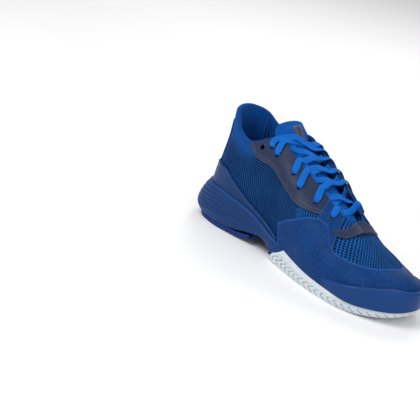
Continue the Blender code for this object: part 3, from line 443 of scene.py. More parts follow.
class Look:
    """A procedural material under construction. Colours are display values of 0 to 255, or linear with alpha."""

    def __init__(self, name, roughness, sheen=0.0, coat=0.0, specular=0.5):
        self.material = bpy.data.materials.new(name)
        self.material.use_nodes = True
        self.tree = self.material.node_tree
        self.shader = self.tree.nodes["Principled BSDF"]
        settings = {"Roughness": roughness, "Specular IOR Level": specular}
        if sheen:
            settings |= {"Sheen Weight": sheen, "Sheen Roughness": 0.4, "Sheen Tint": (0.12, 0.4, 1.0, 1.0)}
        if coat:
            settings |= {"Coat Weight": coat, "Coat Roughness": 0.25}
        for key, value in settings.items():
            self.shader.inputs[key].default_value = value

    def node(self, kind, inputs=None, **settings):
        made = self.tree.nodes.new(kind)
        for key, value in settings.items():
            setattr(made, key, value)
        for key, value in (inputs or {}).items():
            self.feed(made.inputs[key], value)
        return made

    def feed(self, socket, value):
        if isinstance(value, bpy.types.NodeSocket):
            self.tree.links.new(value, socket)
        else:
            socket.default_value = srgb(*value) if isinstance(value, tuple) and len(value) == 3 else value

    def maths(self, operation, *values):
        return self.node("ShaderNodeMath", dict(enumerate(values)), operation=operation).outputs[0]

    def add(self, first, second):
        return self.maths("ADD", first, second)

    def times(self, first, second):
        return self.maths("MULTIPLY", first, second)

    def less(self, first, second):
        return self.maths("SUBTRACT", first, second)

    def ramp(self, value, low, high, to_low=0.0, to_high=1.0):
        return self.node("ShaderNodeMapRange", {"Value": value, "From Min": low, "From Max": high,
                                                "To Min": to_low, "To Max": to_high},
                         interpolation_type="SMOOTHSTEP").outputs[0]

    def mix(self, share, first, second):
        return self.node("ShaderNodeMix", {0: share, 6: first, 7: second}, data_type="RGBA").outputs[2]

    def tint(self, base, mask, amount, colour):
        """A colour laid over a base by an amount where the mask is 1."""
        return self.mix(self.times(mask, amount), base, colour)

    def cloud(self, scale, detail):
        """Soft patches of 0 and 1."""
        return self.ramp(self.noise(scale, detail), 0.3, 0.7)

    def attribute(self, name):
        return self.node("ShaderNodeAttribute", attribute_name=name).outputs["Fac"]

    def uv(self):
        """The map's two numbers in millimetres."""
        return self.node("ShaderNodeSeparateXYZ",
                         {0: self.node("ShaderNodeUVMap", uv_map="UVMap").outputs[0]}).outputs[:2]

    def place(self):
        return self.node("ShaderNodeTexCoord").outputs["Object"]

    def noise(self, scale, detail=3.0, roughness=0.55):
        """Noise with a scale in cycles per metre."""
        return self.node("ShaderNodeTexNoise", {"Vector": self.place(), "Scale": scale, "Detail": detail,
                                                "Roughness": roughness}).outputs["Fac"]

    def finish(self, colour, height=None, depth=0.0, roughness=None):
        """The material, with bump from a height at a depth in millimetres."""
        self.feed(self.shader.inputs["Base Color"], colour)
        if height is not None:
            bump = self.node("ShaderNodeBump", {"Height": height, "Strength": 1.0, "Distance": depth * MM})
            self.feed(self.shader.inputs["Normal"], bump.outputs[0])
        if roughness is not None:
            self.feed(self.shader.inputs["Roughness"], roughness)
        return self.material


def cell(look, value, pitch, solid, soft=0.16):
    """1 on the ribs of a repeating line pattern, 0 in the gaps."""
    wave = look.maths("PINGPONG", look.maths("DIVIDE", value, pitch / 2), 1.0)
    return look.ramp(wave, 1 - solid - soft, 1 - solid + soft)


def staggered(look, u, v, pitch, shift):
    """The map's first number, moved by a shift in every other row of a pitch."""
    row = look.maths("FLOOR", look.maths("DIVIDE", v, pitch))
    return look.add(u, look.times(look.maths("MODULO", row, 2.0), shift))


def mesh_cloth(name, rib, shade, along, up, solid):
    """Open mesh: ribs both ways round holes painted near black as shade, closing to plain knit where the 'open' value
    falls.
    """
    look = Look(name, 0.72, sheen=0.06, specular=0.05)
    u, v = look.uv()
    moved = look.add(u, look.times(look.less(look.noise(140, 2), 0.5), 0.9))
    ribs = look.maths("MAXIMUM", cell(look, staggered(look, moved, v, up, along * 0.12), along, solid),
                      cell(look, v, up, solid * 0.85))
    ribs = look.maths("MAXIMUM", ribs, look.less(1.0, look.attribute("open")))
    stitches = look.times(look.add(cell(look, u, 0.55, 0.5), cell(look, v, 0.45, 0.5)), 0.5)
    base = look.tint(rib, look.ramp(look.noise(45, 2), 0.35, 0.65), 0.6, shade)
    # painted shade between the stitches
    base = look.tint(base, look.less(1.0, stitches), 0.35, shade)
    # the holes take a near-black colour as painted shade inside them
    return look.finish(look.mix(ribs, (3, 9, 24), base), look.add(ribs, look.times(stitches, 0.15)), 0.55)


def knit(name, colour, shade, pitch=(0.9, 0.7), depth=0.22):
    """Fine knitted fabric: small stitches in rows, with soft colour variation and fuzz."""
    look = Look(name, 0.8, sheen=0.2, specular=0.05)
    u, v = look.uv()
    stitches = look.times(cell(look, staggered(look, u, v, pitch[1], pitch[0] / 2), pitch[0], 0.55, 0.3),
                          cell(look, v, pitch[1], 0.6, 0.3))
    base = look.tint(colour, look.cloud(60, 3), 0.35, shade)
    # painted shade between the stitches
    base = look.tint(base, look.less(1.0, stitches), 0.45, shade)
    return look.finish(base, look.add(stitches, look.times(look.noise(2600, 4), 0.5)), depth)


def grained(name, colour, shade, light, grain=1400, depth=0.12, roughness=0.5, speckle=0.5, coat=0.0):
    """Overlay or leather-like film: fine grain, speckle and a painted highlight along the raised rim near its edges.
    """
    look = Look(name, roughness, coat=coat, specular=0.08)
    fine, coarse = look.noise(grain, 4, 0.65), look.noise(grain * 0.36, 3, 0.7)
    cells = look.node("ShaderNodeTexVoronoi", {"Vector": look.place(), "Scale": grain * 0.55},
                      feature="F1").outputs["Distance"]
    base = look.tint(colour, look.cloud(35, 3), 0.45, shade)
    dots = look.add(look.ramp(fine, 0.54, 0.74, 0.0, 0.5), look.ramp(coarse, 0.52, 0.66, 0.0, 0.6))
    base = look.tint(base, dots, speckle, light)
    # painted highlight: a lighter band along the raised rim
    base = look.tint(base, look.attribute("rim"), 0.75, light)
    rough = look.ramp(look.noise(90, 3), 0.3, 0.7, roughness - 0.07, roughness + 0.08)
    return look.finish(base, look.add(fine, look.times(cells, 0.8)), depth, rough)


def moulded(name, colour, shade, light, roughness=0.4, coat=0.0, groove_shade=None):
    """Smooth moulded plastic, foam or rubber: faint grain, drift of tone, a painted highlight on convex edges and
    painted shade in the grooves.
    """
    look = Look(name, roughness, coat=coat, specular=0.14)
    base = look.tint(colour, look.cloud(28, 3), 0.4, shade)
    # painted highlight: convex edges, found by their pointiness, are lightened
    edge_highlight = look.ramp(look.node("ShaderNodeNewGeometry").outputs["Pointiness"], 0.515, 0.58)
    base = look.tint(base, edge_highlight, 0.5, light)
    # painted shade: the grooves are mixed towards a darker colour by a value that comes with the mesh
    if groove_shade is not None:
        base = look.mix(look.attribute("groove_shade"), base, groove_shade)
    base = look.tint(base, look.ramp(look.noise(420, 5, 0.7), 0.6, 0.75), 0.12, light)
    rough = look.ramp(look.noise(120, 4), 0.3, 0.7, roughness - 0.06, roughness + 0.1)
    return look.finish(base, look.noise(900, 4), 0.03, rough)


def woven(name, colour, shade, light):
    """Flat lace: a herringbone of fine threads along its length."""
    look = Look(name, 0.7, sheen=0.1, specular=0.06)
    u, v = look.uv()
    slant = look.maths("ABSOLUTE", look.less(look.maths("PINGPONG", v, 1.7), 0.85))
    threads = cell(look, look.add(u, look.times(slant, 1.3)), 0.95, 0.55, 0.25)
    fuzz = look.noise(3000, 3)
    base = look.tint(colour, look.cloud(120, 2), 0.35, shade)
    # painted shade between the threads
    base = look.tint(base, look.less(1.0, threads), 0.5, shade)
    base = look.tint(base, look.ramp(fuzz, 0.55, 0.75), 0.3, light)
    return look.finish(base, look.add(threads, look.times(fuzz, 0.35)), 0.2)


def striped(name, colour, shade, bands):
    """Printed bands side by side, with a fine grain."""
    look = Look(name, 0.45, coat=0.1, specular=0.4)
    base = look.mix(look.cloud(60, 3), colour, shade)
    across = look.uv()[1]
    for centre, width, band_colour in bands:
        band = look.maths("ABSOLUTE", look.less(across, centre))
        base = look.mix(look.ramp(band, width / 2 - 0.15, width / 2 + 0.15, 1.0, 0.0), base, band_colour)
    fine = look.noise(1500, 4)
    base = look.tint(base, look.ramp(fine, 0.55, 0.75), 0.25, (0.3, 0.3, 0.4, 1))
    return look.finish(base, fine, 0.08)


QUARTER_MESH = mesh_cloth("quarter_mesh", (26, 82, 148), (16, 60, 118), 2.5, 2.7, solid=0.36)
VAMP_MESH = mesh_cloth("vamp_mesh", (28, 104, 184), (18, 76, 146), 3.3, 3.0, solid=0.38)
COLLAR_KNIT = knit("collar_knit", (18, 80, 156), (12, 60, 126))
LINING = knit("lining_knit", (18, 84, 164), (12, 58, 124), depth=0.3)
TONGUE_KNIT = knit("tongue_knit", (16, 94, 186), (10, 74, 152), pitch=(1.1, 0.9), depth=0.3)
HEEL_OVERLAY = knit("heel_overlay_knit", (20, 70, 136), (14, 54, 110), pitch=(0.8, 0.6), depth=0.16)
OVERLAY = grained("mudguard_grain", (14, 58, 116), (8, 44, 94), (40, 92, 166), grain=1100, depth=0.2)
FILM = grained("eyestay_film", (44, 54, 80), (36, 46, 74), (74, 76, 98), grain=900, depth=0.06, roughness=0.42,
               speckle=0.25, coat=0.05)
BOARD = grained("board_felt", (196, 194, 184), (170, 168, 158), (220, 218, 210), roughness=0.9)
STIFF = grained("stiffener_sheet", (196, 196, 190), (176, 176, 170), (214, 214, 210), roughness=0.7)
CAGE = moulded("cage_tpu", (16, 54, 106), (12, 46, 92), (48, 92, 162), roughness=0.38, coat=0.04)
BUMPER = moulded("bumper_tpu", (20, 64, 126), (14, 52, 108), (54, 100, 174), coat=0.04)
FOAM = moulded("midsole_skin", (22, 60, 116), (16, 50, 100), (60, 104, 174), roughness=0.42, groove_shade=(10, 30, 72))
WHITE = moulded("white_rubber", (214, 222, 226), (198, 208, 214), (232, 238, 240), roughness=0.55,
                groove_shade=(150, 162, 172))
BLUE_RUBBER = moulded("blue_rubber", (18, 52, 118), (12, 42, 100), (44, 86, 156), roughness=0.5, groove_shade=(4, 14, 46))
SHANK = moulded("shank_plate_satin", (20, 58, 126), (14, 48, 110), (56, 98, 168), roughness=0.25, coat=0.3)
GLOSS = moulded("black_gloss", (10, 12, 20), (6, 8, 14), (40, 44, 56), roughness=0.12, coat=0.8)
LACE = woven("lace_weave", (20, 118, 220), (12, 88, 180), (52, 146, 236))
THREAD = woven("stitch_thread", (26, 92, 176), (16, 64, 136), (64, 128, 206))
STRIPES = striped("tongue_stripes", (50, 60, 92), (42, 54, 86),
                  [(-2.7, 0.8, (22, 72, 150)), (-1.0, 1.6, (74, 78, 92)), (2.6, 2.0, (26, 36, 70)),
                   (5.2, 0.9, (96, 90, 82)), (7.0, 0.8, (22, 72, 150))])


# ---------------------------------------------------------------- camera, light and floor


def make_camera():
    """A level look at the medial side from the front, with the frame turned clockwise so that the toe points down."""
    azimuth, elevation, roll = (math.radians(angle) for angle in (40.0, 21.1, 13.9))
    level = np.array([math.cos(azimuth), math.sin(azimuth), 0.0])
    back = np.array([level[1] * math.cos(elevation), -level[0] * math.cos(elevation), math.sin(elevation)])
    risen = np.cross(back, level)
    right = math.cos(roll) * level + math.sin(roll) * risen
    up = math.cos(roll) * risen - math.sin(roll) * level
    camera = add_object("camera", bpy.data.cameras.new("camera"))
    camera.data.lens = 120
    camera.data.sensor_width = 36
    turn = Matrix([list(right), list(up), list(back)]).transposed().to_4x4()
    camera.matrix_world = Matrix.Translation(back * 1.439 - right * 0.0942 + up * 0.0521 + CENTRE) @ turn
    bpy.context.scene.camera = camera


def area_light(name, at, size, power):
    light = add_object(name, bpy.data.lights.new(name, "AREA"))
    light.data.shape = "DISK"
    light.data.size = size
    light.data.energy = power
    light.location = at
    light.rotation_euler = (Vector((0, 0, 0.05)) - Vector(at)).to_track_quat("-Z", "Y").to_euler()


def make_studio():
    world = bpy.data.worlds.new("studio")
    bpy.context.scene.world = world
    world.use_nodes = True
    world.node_tree.nodes["Background"].inputs["Color"].default_value = (1, 1, 1, 1)
    world.node_tree.nodes["Background"].inputs["Strength"].default_value = 0.46
    bpy.context.scene.view_settings.view_transform = "Standard"
    area_light("key", (-0.35, -0.75, 1.1), 0.8, 10)
    area_light("fill", (0.9, -0.4, 0.6), 0.9, 3)
    area_light("rim", (-0.5, 0.9, 0.9), 0.7, 5)
    look = Look("floor", 0.9)
    look.finish(look.mix(look.cloud(3, 2), (0.97, 0.97, 0.97, 1), (0.99, 0.99, 0.99, 1)))
    corners = np.array([[-6, -6, 0], [6, -6, 0], [6, 6, 0], [-6, 6, 0]], float)
    make_object("floor", corners, [[0, 1, 2, 3]], look.material, merge=0)


# ---------------------------------------------------------------- the upper

COLLAR_SEAM = 0.80


def level_line(height):
    return lambda where: np.full(np.shape(where), float(height))


feather_line = smooth_line(FEATHER)
cage_top = smooth_line(CAGE_TOP, 0.3)
mudguard_top = smooth_line(MUDGUARD_TOP, 0.14)
bumper_top = smooth_line(BUMPER_TOP, 0.3)
eyestay_low = smooth_line(EYESTAY_LOW, 0.1)
throat_guard_low = smooth_line([(7.2, 0.70), (7.5, 0.72), (8.0, 0.55), (8.4, 0.55)], 0.1)
quarter_top = smooth_line([(0, 0.82), (3.3, 0.82), (3.8, 0.86), (4.05, 0.92), (4.15, 0.92), (4.4, 0.80), (4.6, 0.72),
                           (5, 0.69), (5.6, 0.65), (6.2, 0.63), (6.6, 0.67)], 0.06)
vamp_top = smooth_line([(6.4, 0.66), (7, 0.74), (7.75, 0.84), (7.95, 0.90), (8.1, 1.0), (12, 1.0)], 0.06)
facing_low = smooth_line([(4, 0.96), (4.3, 0.76), (4.6, 0.70), (5, 0.68), (5.6, 0.64), (6.2, 0.62), (6.6, 0.66),
                          (7, 0.73), (7.4, 0.82), (8, 0.84)], 0.1)


def side_span(side, first, last):
    """A stretch of stations as places round the ring, in rising order."""
    return (first, last) if side < 0 else (RING - last, RING - first)


def bumper_level(where):
    """The bumper's height over the upper, which grows from its ends to the toe."""
    return 1.9 + 3.4 * smoothstep(station_of(where), 7.8, 9.2)


def quarter_values(where, share):
    """Open mesh in the middle of the quarter, closing to plain knit towards the collar and the heel."""
    station = station_of(where)
    down = np.clip((COLLAR_SEAM - 0.01 - share) / 0.19, 0, 1) + np.clip((station - 4.2) / 0.5, 0, 1)
    forward = np.clip((station - 1.2 - 0.5 * (1 - share)) / 0.9, 0, 1)
    return {"open": np.clip(down, 0, 1) * forward}


def vamp_values(where, share):
    return {"open": np.ones(where.shape)}


def make_upper():
    bare = {"ends": (False, False), "sides": (False, False)}
    top_edge = {"sides": (False, True), "rim_sides": (False, True)}
    for side, name in ((-1, "medial"), (1, "lateral")):
        holes = [(*spot(side, *eyelet), EYELET_RADIUS * MM) for eyelet in EYELETS[side]]
        front_end = (side > 0, side < 0)
        layer("quarter_" + name, "quarter_" + name + "_mesh", *side_span(side, 0.0, 6.55), level_line(0.0),
              quarter_top, 0.0, 1.2, QUARTER_MESH, pitch=2.0, values=quarter_values, **bare)
        layer("eyestay_" + name, "eyestay_" + name + "_film", *side_span(side, 4.02, 7.4), eyestay_low,
              level_line(1.0), 1.5, 2.8, FILM, pitch=0.75, edge=0.9, ends=front_end, rims=(1.2, 4.8),
              rim_sides=(True, False), rim_width=0.6, holes=holes)
        layer("mudguard", "throat_guard_" + name, *side_span(side, 7.32, 8.13), throat_guard_low, level_line(1.0),
              1.65, 2.8, OVERLAY, pitch=0.8, edge=0.9, rims=(1.0,), rim_ends=(True, True), holes=holes, **top_edge)
        layer("facing_" + name, "facing_" + name + "_lining", *side_span(side, 4.02, 7.95), facing_low,
              level_line(0.997), -1.3, 1.1, LINING, pitch=1.4, edge=0.4, holes=holes, facing=-1)
        show(eyelet_rings("eyelets_" + name, holes))
        edge = np.linspace(*side_span(side, 4.0, 5.3), 60)
        path = offset_point(edge, 1.0, np.where(station_of(edge) < 4.1, 0.6, 0.2) * MM)
        turn = np.linspace(0, 2 * np.pi, 12, endpoint=False)
        ring = swept(path, np.array([0, 0, 1.0]), np.cos(turn) * 1.15 * MM, np.sin(turn) * 1.15 * MM)
        uv = np.stack(np.broadcast_arrays(lengths(ring[:, :1], 0) / MM, turn * 2), -1)
        show(grid_object("throat_binding_" + name, ring, COLLAR_KNIT, uv, wrap=True))
    layer("vamp", "vamp_mesh", 6.45, 17.55, lambda where: feather_line(where) - 0.02, vamp_top, 0.0, 1.2, VAMP_MESH,
          pitch=1.6, values=vamp_values, from_ridge=True, **bare)
    layer("vamp_lining", "vamp_inner_lining", 5.3, 18.7, feather_line, vamp_top, -3.5, 0.8, LINING, pitch=3.0,
          edge=0.4, facing=-1, **bare)
    layer("mudguard", "mudguard_overlay", 5.62, 18.38, level_line(0.0), mudguard_top, 1.5, 1.4, OVERLAY, pitch=0.9,
          edge=0.8, rims=(1.5,), rim_width=0.75, rim_ends=(True, True), **top_edge)
    layer("toe_bumper", "toe_bumper_cap", 7.8, 16.2, level_line(0.0), bumper_top, bumper_level, 4.6, BUMPER,
          pitch=0.9, edge=1.8, rims=(1.8,), rim_width=0.7)
    layer("heel_cage", "heel_cage_shell", -5.6, 5.6, level_line(-0.01), cage_top, 3.0, 2.8, CAGE, pitch=0.9,
          edge=1.3, rims=(1.4,), **top_edge)
    layer("heel_tab", "heel_tab_knit", -1.5, 1.5, lambda where: cage_top(where) - 0.02, level_line(0.86), 1.5, 1.4,
          HEEL_OVERLAY, edge=0.9, rims=(1.0,), rim_ends=(True, True), **top_edge)


def eyelet_rings(name, holes):
    """A raised rim round each lace hole, running down through the film and the facing."""
    profile = [(3.9, 1.45), (3.6, 1.62), (3.2, 1.86), (2.85, 1.90), (2.6, 1.72), (2.5, 1.3), (2.5, -1.2), (2.7, -1.4)]
    out, height = (np.array(values)[:, None, None] * MM for values in zip(*profile))
    turns = np.linspace(0, 2 * np.pi, 28, endpoint=False)[:, None]
    rings = []
    for centre, normal, _ in holes:
        side = unit(np.cross(normal, [0.3, 0.2, 1.0]))
        around = side * np.cos(turns) + np.cross(normal, side) * np.sin(turns)
        rings.append(centre + normal * height + around * out)
    return joined(name, rings, FILM, flip=True)


def make_throat_bar():
    """The printed strip over the ridge at the base of the throat."""
    across = np.linspace(0.745, 1, 60)
    shares = np.array([0, 0, 0.02, 0.05, 0.1, 0.16, 0.24, 0.36, 0.5, 0.64, 0.76, 0.84, 0.9, 0.95, 0.98, 1, 1])
    rear = np.interp(across, [0.745, 0.79, 0.9, 1], [7.84, 8.0, 8.42, 8.6])
    front = np.interp(across, [0.745, 0.79, 0.9, 1], [8.2, 8.5, 8.95, 9.28])
    station = rear + (front - rear) * shares[:, None]
    height = np.broadcast_to(across, station.shape)
    medial, lateral = upper_point(station, height), upper_point(RING - station, height)
    normals = upper_normal(station, height), upper_normal(RING - station, height)
    mix = np.linspace(0, 1, 14)[1:-1][None, :, None]
    middle = medial[:, -1:] * (1 - mix) + lateral[:, -1:] * mix
    middle[..., 2] += np.sin(mix[..., 0] * np.pi) * np.linalg.norm(medial[:, -1:] - lateral[:, -1:], axis=-1) * 0.12
    normal = unit(np.concatenate([normals[0], normals[0][:, -1:] * (1 - mix) + normals[1][:, -1:] * mix,
                                  normals[1][:, ::-1]], 1))
    base = np.concatenate([medial, middle, lateral[:, ::-1]], 1)
    along, up = lengths(base, 1), lengths(base, 0)
    far = nearest([up, up[-1:] - up, along, along[:, -1:] - along], (True,) * 4)
    # the rim raises a ridge near the edges and gets a painted highlight in the film's skin
    rim = np.exp(-((far / MM - 1.2) / 0.4) ** 2)
    offset = 2.3 * MM + round_edge(far, 0.8 * MM) + rim * 0.3 * MM
    offset[[0, -1]] = offset[:, [0, -1]] = 0.2 * MM
    show(grid_object("throat_bar_film", base + normal * offset[..., None], FILM, np.stack([along, up], -1) / MM,
                     {"rim": rim}, flip=True), "throat_bar")


# ---------------------------------------------------------------- collar, tongue and insole

def collar_padding(station):
    return np.interp(station, [0, 3.5, 4.3, 5], [1, 1, 0.45, 0.0])


def lining_depth(share, station):
    """How far the inner lining's face lies inside the outer surface."""
    deep = np.interp(share, [0.05, 0.4, 0.52, 0.64, 0.8, 0.9, 1.0], [4.6, 4.7, 7.2, 8.6, 8.2, 6.9, 4.8])
    return (4.5 + (deep - 4.5) * collar_padding(station)) * MM


def make_collar():
    """The padded collar in one piece: a soft roll over the edge, and the lining down to the footbed."""
    where = np.linspace(-5.0, 5.0, 560)
    station = station_of(where)
    pad = collar_padding(station)
    edge, below = offset_point(where, 1.0, 0 * where), offset_point(where, 0.94, 0 * where)
    up, normal = unit(edge - below), upper_normal(where, 1.0)
    seam = np.interp(station, [0, 3.4, 3.9, 4.2, 5], [COLLAR_SEAM, COLLAR_SEAM, 0.86, 0.93, 0.985])
    soft = (1 + 0.10 * np.sin(where * 2.9 + 0.6) + 0.06 * np.sin(where * 7.3)) * (0.3 + 0.7 * pad)
    rows = []
    for step in np.linspace(0, 1, 22):
        puff = (-0.4 + 1.2 * np.sin(np.clip(step * 1.25, 0, 1) * np.pi / 2) ** 0.8) * soft
        rows.append(offset_point(where, seam + (0.975 - seam) * step, puff * MM))
    outer, inner = 0.8 * soft * MM, lining_depth(1.0, station)
    middle, radius = (outer - inner) / 2, (outer + inner) / 2
    root = offset_point(where, 0.975, 0 * where)
    tall = np.minimum(radius, (2.2 + 2.4 * pad) * MM) + 0.4 * MM
    for turn in np.linspace(0.05, 0.95, 17) * np.pi:
        rows.append(root + normal * (middle + radius * np.cos(turn))[:, None] + up * (tall * np.sin(turn))[:, None])
    creases = sum(np.exp(-((np.mod(where - at + 12, 24) - 12) / wide) ** 2) * deep
                  for at, wide, deep in ((-2.35, 0.05, 1.5), (-2.62, 0.05, 1.2), (-2.05, 0.06, 0.8), (2.4, 0.05, 1.3),
                                         (2.75, 0.06, 1.0), (-0.9, 0.12, 0.6), (0.9, 0.12, 0.6)))
    for share in np.concatenate([np.linspace(0.965, 0.4, 46), np.linspace(0.385, 0.055, 16)]):
        fade = np.clip((share - 0.42) / 0.14, 0, 1) * np.clip((1.02 - share) / 0.08, 0, 1)
        sag = 0.5 * np.sin(where * 4.1 + share * 6) - creases
        rows.append(offset_point(where, share, -lining_depth(share, station) - sag * fade * pad * MM))
    points = np.array(rows)
    along = lengths(points, 1)[30][None, :].repeat(len(rows), 0)
    collar = grid_object("collar_padding", points, COLLAR_KNIT, np.stack([along, lengths(points, 0)], -1) / MM)
    show(collar, "collar_foam", "collar_lining")
    where, share = where[20:-20:2], (seam - 0.012)[20:-20:2]
    stitch_row("collar_seam_stitches", offset_point(where, share, np.full(len(where), 0.15 * MM)),
               upper_normal(where, share))


def stitch_row(name, path, normals):
    """A row of short threads along a path, 1.9 mm long and 2.6 mm apart."""
    run = lengths(path[:, None], 0)[:, 0]
    shares = np.linspace(0, 1, 7)
    turns = np.linspace(0, 2 * np.pi, 6, endpoint=False)
    size = 0.26 * MM * np.sqrt(np.clip(1 - (shares * 2 - 1) ** 4, 0.02, 1))
    rings = []
    for start in np.arange(1 * MM, run[-1] - 2 * MM, 2.6 * MM):
        at = start + shares * 1.9 * MM
        line, normal = (np.stack([np.interp(at, run, values[:, axis]) for axis in range(3)], -1)
                        for values in (path, normals))
        normal = unit(normal)
        line = line + normal * (np.sin(shares * np.pi) * 0.2 - 0.12)[:, None] * MM
        across = np.cross(unit(np.gradient(line, axis=0)), normal)
        rings.append(line[:, None] + across[:, None] * (np.cos(turns) * size[:, None])[..., None]
                     + normal[:, None] * (np.sin(turns) * size[:, None])[..., None])
    show(joined(name, rings, THREAD, merge=0))


TONGUE_TIP = -60.5
TONGUE_FRONT = 67.0


def tongue_crown(x, share):
    """The tongue's upper face with its padding: fuller between the edges and a channel inside each edge."""
    full = np.interp(x, [-57, -40, -20, 10, 68], [1.0, 0.9, 0.5, 0.3, 0.1])
    swell = (1 - np.abs(share) ** 2.4) * 1.1 * full
    channel = np.exp(-((np.abs(share) - 0.80) / 0.045) ** 2) * 0.75 * np.interp(x, [-57, -54, 30, 60], [0, 1, 0.7, 0])
    wave = 0.25 * np.sin(x * 0.33 + share * 3) * full
    return swell - channel + wave


def tongue_end(x):
    """1 along the tongue, falling to 0 at its rounded tip."""
    return np.sqrt(np.clip(1 - (np.clip(-54.5 - x, 0, 6) / 6.02) ** 2.4, 0.0, 1))


def tongue_place(x, share, lift):
    """Points of the tongue from arrays of x in millimetres, share across and height over the upper face."""
    outer = np.interp(x, [-58, -50, -44, -38], [3.5, 4.6, 2.6, 0.0])
    inner = np.interp(x, [-58, -50, -44, -38], [6.2, 5.6, 2.6, 0.0])
    wide = table(TONGUE_HALF_WIDTH, x) + np.where(share > 0, outer, inner)
    y = share * wide * (0.78 + 0.22 * tongue_end(x))
    flare = np.where(y > 0, np.interp(x, [-60, -52, -42], [0.45, 0.5, 1.0]),
                     np.interp(x, [-60, -52, -42], [0.3, 0.55, 1.0]))
    middle = tongue_middle(x) + np.clip(-56 - x, 0, 6) * 0.55
    return np.stack([x, y + tongue_lean(x), middle - tongue_fall(y) * flare + lift], -1) * MM + CENTRE


def squarer(values, power):
    """Sines or cosines pushed outwards, so that they draw a squarer outline than a circle."""
    return np.sign(values) * np.abs(values) ** power


def make_tongue():
    tip = TONGUE_TIP + 6 * (1 - np.sin(np.linspace(0, np.pi / 2, 22)[:0:-1]))
    x = np.concatenate([tip, np.linspace(TONGUE_TIP + 6, TONGUE_FRONT, 190)])
    turn = np.linspace(0, 2 * np.pi, 132, endpoint=False)
    rise = squarer(np.sin(turn), 0.72)
    x, share = np.meshgrid(x, squarer(np.cos(turn), 0.72), indexing="ij")
    thick = table(TONGUE_THICKNESS, x) * np.maximum(tongue_end(x), 0.02)
    lift = thick * (rise - 1) / 2 + np.clip(rise, 0, 1) * tongue_crown(x, share) * tongue_end(x)
    body = grid_object("tongue_padding", tongue_place(x, share, lift), TONGUE_KNIT, np.stack([x, share * 22], -1),
                       wrap=True)
    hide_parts("tongue_base", "tongue_top")
    x, share = np.meshgrid(np.r_[-54.6, np.linspace(-54.6, -42.6, 40), -42.6],
                           np.r_[-0.20, np.linspace(-0.20, 0.46, 48), 0.46], indexing="ij")
    y = share * 17.8
    inside = nearest([x - x[0, 0], x[-1, 0] - x, y - y[0, 0], y[0, -1] - y], (True,) * 4)
    lift = tongue_crown(x, share) * tongue_end(x) + 0.75 + round_edge(inside, 0.4) - np.where(inside <= 0, 0.6, 0)
    lift[[0, -1]] = lift[[1, -2]] - 1.2
    lift[:, [0, -1]] = lift[:, [1, -2]] - 1.2
    patch = grid_object("tongue_stripe_patch", tongue_place(x, share, lift), STRIPES, np.stack([x, y], -1))
    show(patch, "tongue_stripe", body="tongue_end")
    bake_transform(body)


def footbed_outline(offset):
    """The insole's edge in plan, close together, as points round the ring."""
    where = np.linspace(0, RING, 481)[:-1]
    return offset_point(where, table(FEATHER, station_of(where)), np.full(len(where), offset))


# ---------------------------------------------------------------- laces

LACE_WIDTH = 7.2
LACE_THICKNESS = 1.3


def eyelet_frame(side, number):
    """An eyelet's centre, outward normal and the direction from it to the throat."""
    station, height = EYELETS[side][number]
    centre, normal = spot(side, station, height)
    return centre, normal, unit(spot(side, station, height + 0.03)[0] - centre)


def throat_edge(side, station, outside):
    """A point just over the throat's edge, or under it, with the ribbon's normal there."""
    edge, normal = spot(side, station, 1.0)
    inward = unit(edge - spot(side, station, 0.95)[0])
    if outside:
        return edge + normal * 2.25 * MM + inward * 0.9 * MM, normal + inward * 0.3
    return edge - normal * 3.0 * MM, normal


def tongue_normal(x, across):
    return unit(np.cross(tongue_point(x + 1, across) - tongue_point(x - 1, across),
                         tongue_point(x, across + 0.05) - tongue_point(x, across - 0.05)))


def lace_route():
    """The lace's middle line with a normal and a width share at each point.

    The bottom bar lies outside. Above it each half comes up through an eyelet, crosses the tongue and goes under
    the other side's edge to the next eyelet. Its last crossing goes down into the eyelet, and its end is tucked in.
    """
    last = len(EYELETS[1]) - 1

    def through(side, number):
        """From the top of the film down through an eyelet, to the back of the facing."""
        centre, normal, inward = eyelet_frame(side, number)
        return [(centre + inward * 5.0 * MM + normal * 2.7 * MM, normal, 1.0),
                (centre + inward * 1.9 * MM + normal * 2.7 * MM, normal - inward * 0.35, 0.86),
                (centre + inward * 0.1 * MM + normal * 1.2 * MM, -inward, 0.68),
                (centre + inward * 0.3 * MM - normal * 1.6 * MM, -inward - normal * 0.5, 0.62),
                (centre + inward * 2.8 * MM - normal * 2.9 * MM, -normal, 0.8)]

    def strand(side, number, start_outside, end_outside, lift):
        """Over the tongue, from one side's edge at an eyelet to the other side's edge at the next one up."""
        low, high = EYELETS[side][number][0], EYELETS[-side][number - 1][0]
        start_at, end_at = low + (high - low) * 0.15, high + (low - high) * 0.15
        start, start_normal = throat_edge(side, start_at, start_outside)
        end, end_normal = throat_edge(-side, end_at, end_outside)
        found = [(start, start_normal, 0.95)]
        falling = lift + 0.8 if end_outside else max(1.4, lift - 1.2)
        for share, rise in ((0.28, lift), (0.5, lift + 0.4), (0.72, falling)):
            x = (start + (end - start) * share - CENTRE)[0] / MM
            across = side * (1 - 2 * share)
            resting, normal = tongue_point(x, across, rise), tongue_normal(x, across)
            taut = start + (end - start) * share
            lacking = np.clip((taut - resting) @ normal, 0, None) if end_outside or start_outside else 0.0
            found.append((resting + normal * lacking * 0.72, normal, 1.0))
        return found + [(end, end_normal, 0.95)]

    def climb(side, lift):
        """One half of the lace, from the outside of its bottom eyelet to its tucked end."""
        points = through(side, last)
        points += strand(side, last, False, False, lift)
        for number in range(last - 1, 1, -1):
            side = -side
            points += through(side, number)[::-1]
            points += strand(side, number, True, number == 2, lift)
        points += through(-side, 1)
        centre, normal, inward = eyelet_frame(-side, 1)
        return points + [(centre + inward * 6.0 * MM - normal * 3.3 * MM, -normal, 0.8)]

    bar_at = EYELETS[-1][last][0] + 0.03
    bar = [(*throat_edge(-1, bar_at, True), 1.0)]
    bar += [(tongue_point(37.0, across, 1.9), tongue_normal(37.0, across), 1.0) for across in (-0.35, 0.35)]
    bar.append((*throat_edge(1, bar_at, True), 1.0))
    return climb(-1, 1.5)[::-1] + bar + climb(1, 3.7)


